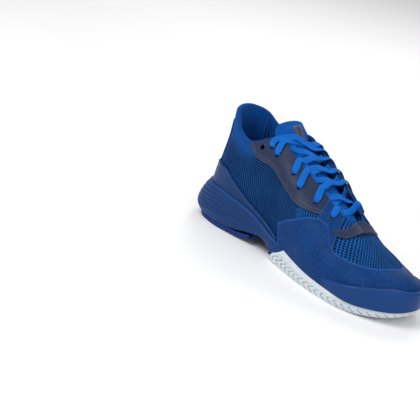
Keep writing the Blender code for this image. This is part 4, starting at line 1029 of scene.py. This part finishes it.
def make_lace():
    points, normals, widths = (np.array(values) for values in zip(*lace_route()))
    normals = unit(normals)
    for number in range(1, len(normals)):
        if normals[number] @ normals[number - 1] < 0:
            normals[number] *= -1
    found = []
    ends = [np.concatenate([values[:1], values, values[-1:]]) for values in (points, normals, widths[:, None])]
    for number in range(len(points) - 1):
        steps = max(2, round(np.linalg.norm(points[number + 1] - points[number]) / (0.8 * MM)))
        for share in np.arange(steps) / steps:
            found.append(np.concatenate([catmull(*values[number:number + 4], share) for values in ends]))
    path, facing, width = np.split(np.array(found), [3, 6], 1)
    for values in (path, facing):
        for axis in range(3):
            values[2:-2, axis] = np.convolve(values[:, axis], np.ones(5) / 5, mode="valid")
    turn = np.linspace(0, 2 * np.pi, 20, endpoint=False)
    flat_x, flat_z = squarer(np.cos(turn), 0.55), squarer(np.sin(turn), 0.75)
    thick = LACE_THICKNESS / 2 * (1 + (1 - np.clip(width, 0, 1)) * 0.9)
    ring = swept(path, facing, flat_x * LACE_WIDTH / 2 * width * MM,
                 (flat_z * thick + 0.25 * (flat_x**2 - 0.5)) * MM)
    uv = np.stack(np.broadcast_arrays(lengths(path[:, None], 0) / MM, flat_x * LACE_WIDTH / 2), -1)
    show(grid_object("lace_ribbon", ring, LACE, uv, wrap=True), "lace")


# ---------------------------------------------------------------- sole

GROOVE_LINES = [
    [(119, -31), (105, -27), (87, -22), (59, -15), (30, -11), (5, -12), (-14, -17)],
    [(126, 5), (108, 9), (87, 13), (54, 18), (22, 18), (0, 13), (-28, 6)],
    [(75, -44), (82, -34), (88, -22), (91, -4), (87, 13), (82, 28), (80, 40)],
    [(18, -40), (22, -32), (28, -11), (27, 4), (20, 18), (10, 38), (-2, 60)],
]
REAR_EDGE = [(-75, -19), (-44, -18.5), (-36, -18), (-28, -19), (-19, -21), (-14, -9), (-9, -3), (-4, -8), (3, -16),
             (10, -26), (21, -37), (28, -36), (34, -33.5), (44, -28), (75, -20)]
HEEL_CHANNEL = [(-104, 0), (-92, -7), (-60, -17), (-40, -19), (-30, -19), (-30, 15), (-40, 15), (-60, 13), (-92, 5)]
FIRST_WHITE = {-1: 5.6, 1: 5.2}
GROUND_OUTLINE = on_ring(GROUND, np.linspace(0, RING, 961)[:-1])
STRIP_HALF_WIDTH = 2.15 * MM
NET_PITCH = 4.3
NET_SWING = 1.75
NET_WAVE = 14.0
NET_SLANT = 0.26
UP = np.array([0, 0, MM])


def ground_height(x):
    order = GROUND[: LAST_STATION + 1]
    return np.interp(x, order[:, 0], order[:, 2])


def sides_of(ring):
    """Medial and lateral edges of a dense plan outline as functions of x."""
    half = len(ring) // 2

    def edge(line):
        return lambda x: np.interp(x, np.maximum.accumulate(line[:, 0]), line[:, 1])

    return edge(ring[:half + 1]), edge(np.concatenate([ring[half:], ring[:1]])[::-1])


def bunched(count, blunt_start, blunt_end):
    """Shares from 0 to 1, closer together at a blunt end."""
    t = np.linspace(0, 1, count)
    if blunt_start and blunt_end:
        return (1 - np.cos(np.pi * t)) / 2 * 0.5 + t * 0.5
    if blunt_end:
        return np.sin(t * np.pi / 2) * 0.5 + t * 0.5
    if blunt_start:
        return 1 - (np.sin((1 - t) * np.pi / 2) * 0.5 + (1 - t) * 0.5)
    return t


def distance_to(points, line):
    """The distance in plan from points to a polyline."""
    best = np.full(points.shape[:-1], 1e9)
    for start, end in zip(line[:-1], line[1:]):
        step = end - start
        share = np.clip(((points - start) @ step) / (step @ step), 0, 1)
        best = np.minimum(best, np.linalg.norm(points - (start + share[..., None] * step), axis=-1))
    return best


def smooth_plan(line, spacing=1.5):
    """A plan line in metres with points close together on the smooth curve through those given in millimetres."""
    points = np.array(line, float) * MM + CENTRE[:2]
    ends = np.vstack([2 * points[0] - points[1], points, 2 * points[-1] - points[-2]])
    found = []
    for number in range(len(points) - 1):
        steps = max(2, round(np.linalg.norm(points[number + 1] - points[number]) / (spacing * MM)))
        found += [catmull(*ends[number:number + 4], share) for share in np.arange(steps) / steps]
    return np.array(found + [points[-1]])


def inside_outline(points, outline):
    """Which plan points lie inside a closed outline."""
    inside = np.zeros(points.shape[:-1], bool)
    x, y = points[..., 0], points[..., 1]
    for start, end in zip(outline, np.roll(outline, -1, 0)):
        crosses = (start[1] > y) != (end[1] > y)
        height = end[1] - start[1] if end[1] != start[1] else 1e-12
        inside ^= crosses & (x < (end[0] - start[0]) * (y - start[1]) / height + start[0])
    return inside


def net_tread(x, y, width):
    """1 in the grooves of a net of wavy lines that swing against each other, 0 on the leaf-shaped blocks."""
    turned_x = x * np.cos(NET_SLANT) + y * np.sin(NET_SLANT)
    turned_y = y * np.cos(NET_SLANT) - x * np.sin(NET_SLANT)
    phase = 2 * np.pi * turned_y / NET_WAVE
    offset = NET_SWING * (np.sin(phase) + 0.22 * np.sin(2 * phase + 0.7))
    best = np.full(np.shape(x), 1e9)
    for shift, sign in ((0, 1), (NET_PITCH, -1)):
        line = turned_x - shift - sign * offset
        best = np.minimum(best, np.abs(np.mod(line + NET_PITCH, 2 * NET_PITCH) - NET_PITCH))
    return 1 - smoothstep(best, width * 0.35, width * 0.85)


def wave_tread(x, y, pitch, swing, wave, width):
    """1 in the grooves of wavy lines that run side by side, broken into dashes."""
    line = x - swing * np.sin(2 * np.pi * y / wave)
    index = np.floor(line / pitch + 0.5)
    gap = np.abs(line - index * pitch)
    broken = smoothstep(np.abs(np.mod(y / wave + index * 0.5, 2.0) - 1.0), 0.03, 0.12)
    return (1 - smoothstep(gap, width * 0.4, width)) * broken


def tread_object(name, node, plan, height, last_row, skin, groove_shade):
    """A sole's underside from its plan and its heights, with one end row lifted into the sole."""
    height[last_row] = ground_height(plan[last_row][:, 0]) + SOLE_THICKNESS
    show(grid_object(name, np.concatenate([plan, height[..., None]], -1), skin, (plan - CENTRE[:2]) / MM,
                     {"groove_shade": groove_shade}), node)


def make_forefoot_sole():
    medial, lateral = sides_of(GROUND_OUTLINE)
    tip = 140.9 * MM + CENTRE[0]
    share = np.concatenate([[0, 0, 0.002, 0.005], np.linspace(0.010, 0.990, 200), [0.995, 0.998, 1.0, 1.0]])
    rear = np.array(REAR_EDGE) * MM
    rear_x = np.full(len(share), -20 * MM)
    for _ in range(12):
        y = medial(rear_x) + (lateral(rear_x) - medial(rear_x)) * share
        rear_x = rear_x * 0.4 + (np.interp(y - CENTRE[1], rear[:, 0], rear[:, 1]) + CENTRE[0]) * 0.6
    rear_x[2:-2] = np.convolve(rear_x, np.ones(5) / 5, mode="valid")
    rows = np.concatenate([[0, 0], bunched(330, False, True)[1:] * 0.9985])
    x = rear_x + (tip - rear_x) * rows[:, None]
    low, high = medial(x), lateral(x)
    y = low + (high - low) * share
    plan = np.stack([x, y], -1)
    lines = [smooth_plan(line) for line in GROOVE_LINES]
    to_line = np.min([distance_to(plan, line) for line in lines], axis=0)
    to_edge = np.minimum(np.minimum(y - low, high - y), lengths(plan, 0))
    outer = smoothstep(y - np.interp(x, lines[1][::-1, 0], lines[1][::-1, 1]), 1.0 * MM, 1.5 * MM)
    xs, ys = (x - CENTRE[0]) / MM, (y - CENTRE[1]) / MM
    tread = net_tread(xs, ys, 1.05) * (1 - outer)
    tread = tread + wave_tread(xs, ys, 3.5, 1.15, 6.6, 0.95) * outer
    tread = tread * smoothstep(to_edge, 1.6 * MM, 2.6 * MM) * smoothstep(to_line, 3.1 * MM, 3.7 * MM)
    flex = 1 - smoothstep(to_line, 2.25 * MM, 2.6 * MM)
    rise = 0.35 * np.clip(1 - to_edge / (1.2 * MM), 0, 1) ** 2
    # painted shade in the tread and flex grooves
    groove_shade = np.clip(tread * 0.9 + flex * 0.25, 0, 1)
    groove_shade[0] = 0
    tread_object("forefoot_tread", "outsole_forefoot", plan, ground_height(x) + (tread + flex * 2.2 + rise) * MM, 0,
                 WHITE, groove_shade)
    make_flex_strips(lines, medial, lateral)
    make_forefoot_wall()


def make_flex_strips(lines, medial, lateral):
    """Blue strips set into the flex grooves, with rounded ends."""
    out, up = np.array([(-1.0, 0.6), (-1.0, -0.9), (-0.93, -1.0), (-0.5, -1.04), (0, -1.05), (0.5, -1.04),
                        (0.93, -1.0), (1.0, -0.9), (1.0, 0.6)]).T
    rings = []
    for number, line in enumerate(lines):
        line = line[(line[:, 1] > medial(line[:, 0]) + 1.2 * MM) & (line[:, 1] < lateral(line[:, 0]) - 1.2 * MM)]
        run = lengths(line[:, None], 0)[:, 0]
        ends = np.minimum(run, run[-1] - run) / STRIP_HALF_WIDTH
        half = STRIP_HALF_WIDTH * np.sqrt(np.clip(1 - (1 - np.clip(ends, 0, 1)) ** 2, 0.01, 1))
        ahead = unit(np.gradient(line, axis=0))
        across = np.stack([-ahead[:, 1], ahead[:, 0]], -1)
        plan = line[:, None] + across[:, None] * (half[:, None] * out)[..., None]
        height = ground_height(line[:, 0])[:, None] + (1.55 + up + 0.03 * number) * MM
        rings.append(np.concatenate([plan, height[..., None]], -1))
    show(joined("flex_strips", rings, BLUE_RUBBER, wrap=False, flip=True), "outsole_grooves")


def wall_object(name, node, points, skin, groove_shade):
    """A side wall from rows of points, with its painted shade for the grooves row by row or one for all."""
    points = np.array(points)
    groove_shade = np.broadcast_to(groove_shade, points.shape[:2])
    uv = np.stack([lengths(points, 1), lengths(points, 0)], -1) / MM
    show(grid_object(name, points, skin, uv, {"groove_shade": groove_shade}), node)


def make_forefoot_wall():
    """The white rubber's side: a wavy tread on its lower part under a smooth rounded rim."""
    where = np.linspace(FIRST_WHITE[-1], RING - FIRST_WHITE[1], 900)
    ground, side = ground_ring(where), on_ring(SIDE, where)
    edge, level = upper_point(where, 0 * where), flat_unit(upper_normal(where, 0 * where))
    rise = smooth_line([(5.2, 0.5), (5.6, 3.0), (5.8, 8.5), (6.05, 17.5), (6.2, 30), (12, 30)], 0.1)(where)
    top = np.minimum(edge[:, 2] - 0.3 * MM, ground[:, 2] + SOLE_THICKNESS + rise * MM - 2 * MM)
    top = np.maximum(top, ground[:, 2] + 2.5 * MM)
    bulge = side.copy()
    bulge[:, 2] = np.minimum(side[:, 2], (ground[:, 2] + top) / 2)
    crest = edge + level * 2.3 * MM
    crest[:, 2] = top
    run = lengths(ground[:, None], 0)[:, 0]
    rows, groove_shade = [], []
    for step in np.concatenate([[0, 0.015, 0.04], np.linspace(0.08, 0.92, 34), [0.96, 1.0]]):
        base = (ground * (1 - step) ** 2 + 2 * step * (1 - step) * (bulge * 2 - (ground + crest) / 2)
                + crest * step**2)
        tall = (base[:, 2] - ground[:, 2]) / MM
        share = (base[:, 2] - ground[:, 2]) / np.maximum(top - ground[:, 2], 1e-4)
        lane = run / MM - 2.4 * np.sin(2 * np.pi * tall / 8.0 + 0.8)
        gap = np.abs(np.mod(lane + 4.2, 8.4) - 4.2)
        other = np.abs(np.mod(lane + 0.9 * tall, 8.4) - 4.2)
        cut = (1 - smoothstep(gap, 0.35, 0.95)) + 0.45 * (1 - smoothstep(other, 0.25, 0.7))
        cut = np.clip(cut, 0, 1) * smoothstep(share, 0.03, 0.12) * (1 - smoothstep(share, 0.62, 0.72))
        shelf = smoothstep(share, 0.70, 0.78) * 0.35
        rows.append(base + level * ((shelf - cut * 0.6) * MM)[:, None])
        # painted shade in the wall's grooves
        groove_shade.append(cut)
    rim = [(0.35 - 1.2 * (1 - np.cos(angle)), 0.9 * np.sin(angle))
           for angle in np.array([0.2, 0.45, 0.7, 0.9, 1.0]) * np.pi / 2]
    for out, up in rim + [(-3.5, 0.9)]:
        rows.append(crest + level * out * MM + UP * up)
        groove_shade.append(0 * where)
    points = np.array(rows)
    uv = np.stack([np.broadcast_to(run / MM, points.shape[:2]), lengths(points, 0) / MM], -1)
    show(grid_object("forefoot_side_wall", points, WHITE, uv, {"groove_shade": np.array(groove_shade)}), "outsole_forefoot")


def make_heel_sole():
    medial, lateral = sides_of(GROUND_OUTLINE)
    heel, front = -135.8 * MM + CENTRE[0], -47 * MM + CENTRE[0]
    share = np.concatenate([[0, 0, 0.003, 0.008], np.linspace(0.015, 0.985, 130), [0.992, 0.997, 1.0, 1.0]])
    x = heel + (front - heel) * np.concatenate([bunched(190, True, False), [1.0]])[:, None]
    low, high = medial(x), lateral(x)
    y = low + (high - low) * share
    x = np.broadcast_to(x, y.shape)
    plan = np.stack([x, y], -1)
    channel = smooth_plan(HEEL_CHANNEL + HEEL_CHANNEL[:1], 1.0)
    within, gap = inside_outline(plan, channel), distance_to(plan, channel)
    cut = np.where(within, smoothstep(gap, 0.0, 0.9 * MM), 0)
    to_edge = np.minimum(np.minimum(y - low, high - y), lengths(plan, 0) + 1 * MM)
    xs, ys = (x - CENTRE[0]) / MM, (y - CENTRE[1]) / MM
    tread = net_tread(xs, ys, 1.15) * smoothstep(to_edge, 2.4 * MM, 3.4 * MM)
    tread = tread * np.where(within, 0, smoothstep(gap, 1.4 * MM, 2.2 * MM))
    tread = tread * smoothstep(front - x, 1.5 * MM, 2.3 * MM)
    # the last value paints shade in the tread grooves and the heel channel
    tread_object("heel_tread", "outsole_heel", plan, ground_height(x) + (tread * 1.4 + cut * 4.3) * MM, -1,
                 BLUE_RUBBER, np.clip(tread + cut * 0.5, 0, 1))
    where = np.linspace(-4.55, 4.55, 460)
    ground = ground_ring(where)
    out = flat_unit(on_ring(SIDE, where) - ground)
    profile = ((0, 0), (0.3, 0.25), (1.0, 0.5), (2.2, 0.75), (3.6, 0.85), (4.3, 0.7), (4.6, 0.3), (4.6, -1.0))
    wall_object("heel_rubber_side", "outsole_heel",
                [ground + out * push * MM + UP * rise for rise, push in profile], BLUE_RUBBER, 0.0)


def make_midsole():
    """The moulded foam: fine ridges that sweep from the heel to the arch, a smooth lens below and a cupping lip."""
    where = np.linspace(-6.45, 6.45, 900)
    station = station_of(where)
    ground, side = ground_ring(where), on_ring(SIDE, where)
    out = flat_unit(side - ground)
    under = ground + out * 0.8 * MM
    under[:, 2] = ground[:, 2] + (4.7 + table(UNDER_RISE, station)) * MM
    lip = smooth_line(LIP_TOP, 0.4)(where)
    hidden = smoothstep(station, 5.35, 5.95)
    outer = offset_point(where, lip, (5.4 - 4.6 * hidden) * MM)
    inner = offset_point(where, lip, (1.0 - 0.6 * hidden) * MM)
    side = side - out * (4.2 * hidden * MM)[:, None]
    low = np.interp(station, [0, 1.5, 3, 4.3, 5], [0.20, 0.22, 0.34, 0.55, 0.7])
    high = np.interp(station, [0, 3, 4.3, 5], [0.95, 0.95, 0.93, 0.92])
    strength = 1 - smoothstep(station, 4.2, 4.9)
    rows, groove_shade = [], []
    for step in np.concatenate([[0, 0.01, 0.03, 0.06], np.linspace(0.09, 0.985, 120), [1.0]]):
        pull = 2 * step * (1 - step)
        base = under * (1 - step) ** 2 + pull * (side * 2 - (under + outer) / 2) + outer * step**2
        share = (step - low) / (high - low)
        wave = np.abs(np.sin(np.pi * share * 7))
        band = smoothstep(share, -0.02, 0.05) * (1 - smoothstep(share, 0.97, 1.03)) * strength
        ridge = (wave**0.8 * 0.95 - 0.55) * band - 0.5 * (1 - smoothstep(step, 0.0, 0.06))
        rows.append(base + out * (ridge * MM)[:, None])
        # painted shade between the ridges
        groove_shade.append((1 - smoothstep(wave, 0.05, 0.42)) * band * 0.75)
    top = (outer + inner) / 2 + UP * 0.7
    rows += [outer * 0.8 + top * 0.2 + UP * 0.35, top, inner, inner - UP * 4]
    wall_object("midsole_side", "midsole", rows, FOAM, np.array(groove_shade + [0 * where] * 4))
    half = len(where) // 2
    x = np.linspace(-100, -2, 110) * MM + CENTRE[0]
    medial, lateral = (np.stack([np.interp(x, np.maximum.accumulate(line[:, 0]), line[:, axis]) for axis in (1, 2)])
                       for line in (under[half:], under[:half + 1][::-1]))
    y, z = medial[..., None] + (lateral - medial)[..., None] * np.linspace(0, 1, 60)
    points = np.stack([np.broadcast_to(x[:, None], y.shape), y, z], -1)
    show(grid_object("midsole_underside", points, FOAM, points[..., :2] / MM, {"groove_shade": 0 * y}), "midsole")


def make_pad(name, node, offset, bottom, top, skin, round_off):
    """A thin pad on the footbed, from its bottom to its top height over the footbed, with rounded edges."""
    ring = footbed_outline(offset)
    medial, lateral = sides_of(ring)
    start, end = ring[:, 0].min(), ring[:, 0].max()
    x = (start + (end - start) * bunched(150, True, True))[:, None]
    share = (1 - np.cos(np.linspace(0, np.pi, 70))) / 2
    y = medial(x) + (lateral(x) - medial(x)) * share
    half = len(ring) // 2
    base = np.interp(x, ring[:half, 0], ring[:half, 2])
    gap = np.minimum(np.minimum(y - medial(x), lateral(x) - y), np.minimum(x - start, end - x) * 1.5)
    soft = round_edge(gap, round_off * MM) / (round_off * MM) + 1
    high = base + (bottom + (top - bottom) * (0.35 + 0.65 * soft)) * MM
    points = np.concatenate([np.stack(np.broadcast_arrays(x, y, z), -1).reshape(-1, 3)
                             for z in (high, base + bottom * MM)])
    faces = grid_faces(*y.shape)
    index = np.arange(y.size).reshape(y.shape)
    loop = np.concatenate([index[0], index[1:, -1], index[-1, -2::-1], index[-2:0:-1, 0]])
    after = np.roll(loop, -1)
    rim = np.stack([loop, loop + y.size, after + y.size, after], 1)
    made = make_object(name, points, np.concatenate([faces[:, ::-1], faces + y.size, rim]), skin,
                       points[:, :2] / MM, merge=1e-6)
    show(made, node, body="insole")


# ---------------------------------------------------------------- putting it together

def dress_cad_nodes():
    """Materials for the CAD pieces that stay: the hidden boards and stiffeners, and the moulded plates."""
    kept = {"strobel_board": BOARD, "heel_counter": STIFF, "toe_puff": STIFF, "midfoot_shank": SHANK,
            "shank_window": GLOSS}
    for name, skin in kept.items():
        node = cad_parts[name]
        node.data.materials.clear()
        node.data.materials.append(skin)


make_camera()
make_studio()
make_upper()
make_throat_bar()
make_collar()
make_tongue()
make_lace()
make_forefoot_sole()
make_heel_sole()
make_midsole()
make_pad("insole_foam_pad", "insole_foam", -7.4 * MM, 0.2, 4.9, BOARD, 0.6)
make_pad("insole_cover_cloth", "insole_cover", -7.2 * MM, 4.95, 6.2, LINING, 0.8)
dress_cad_nodes()
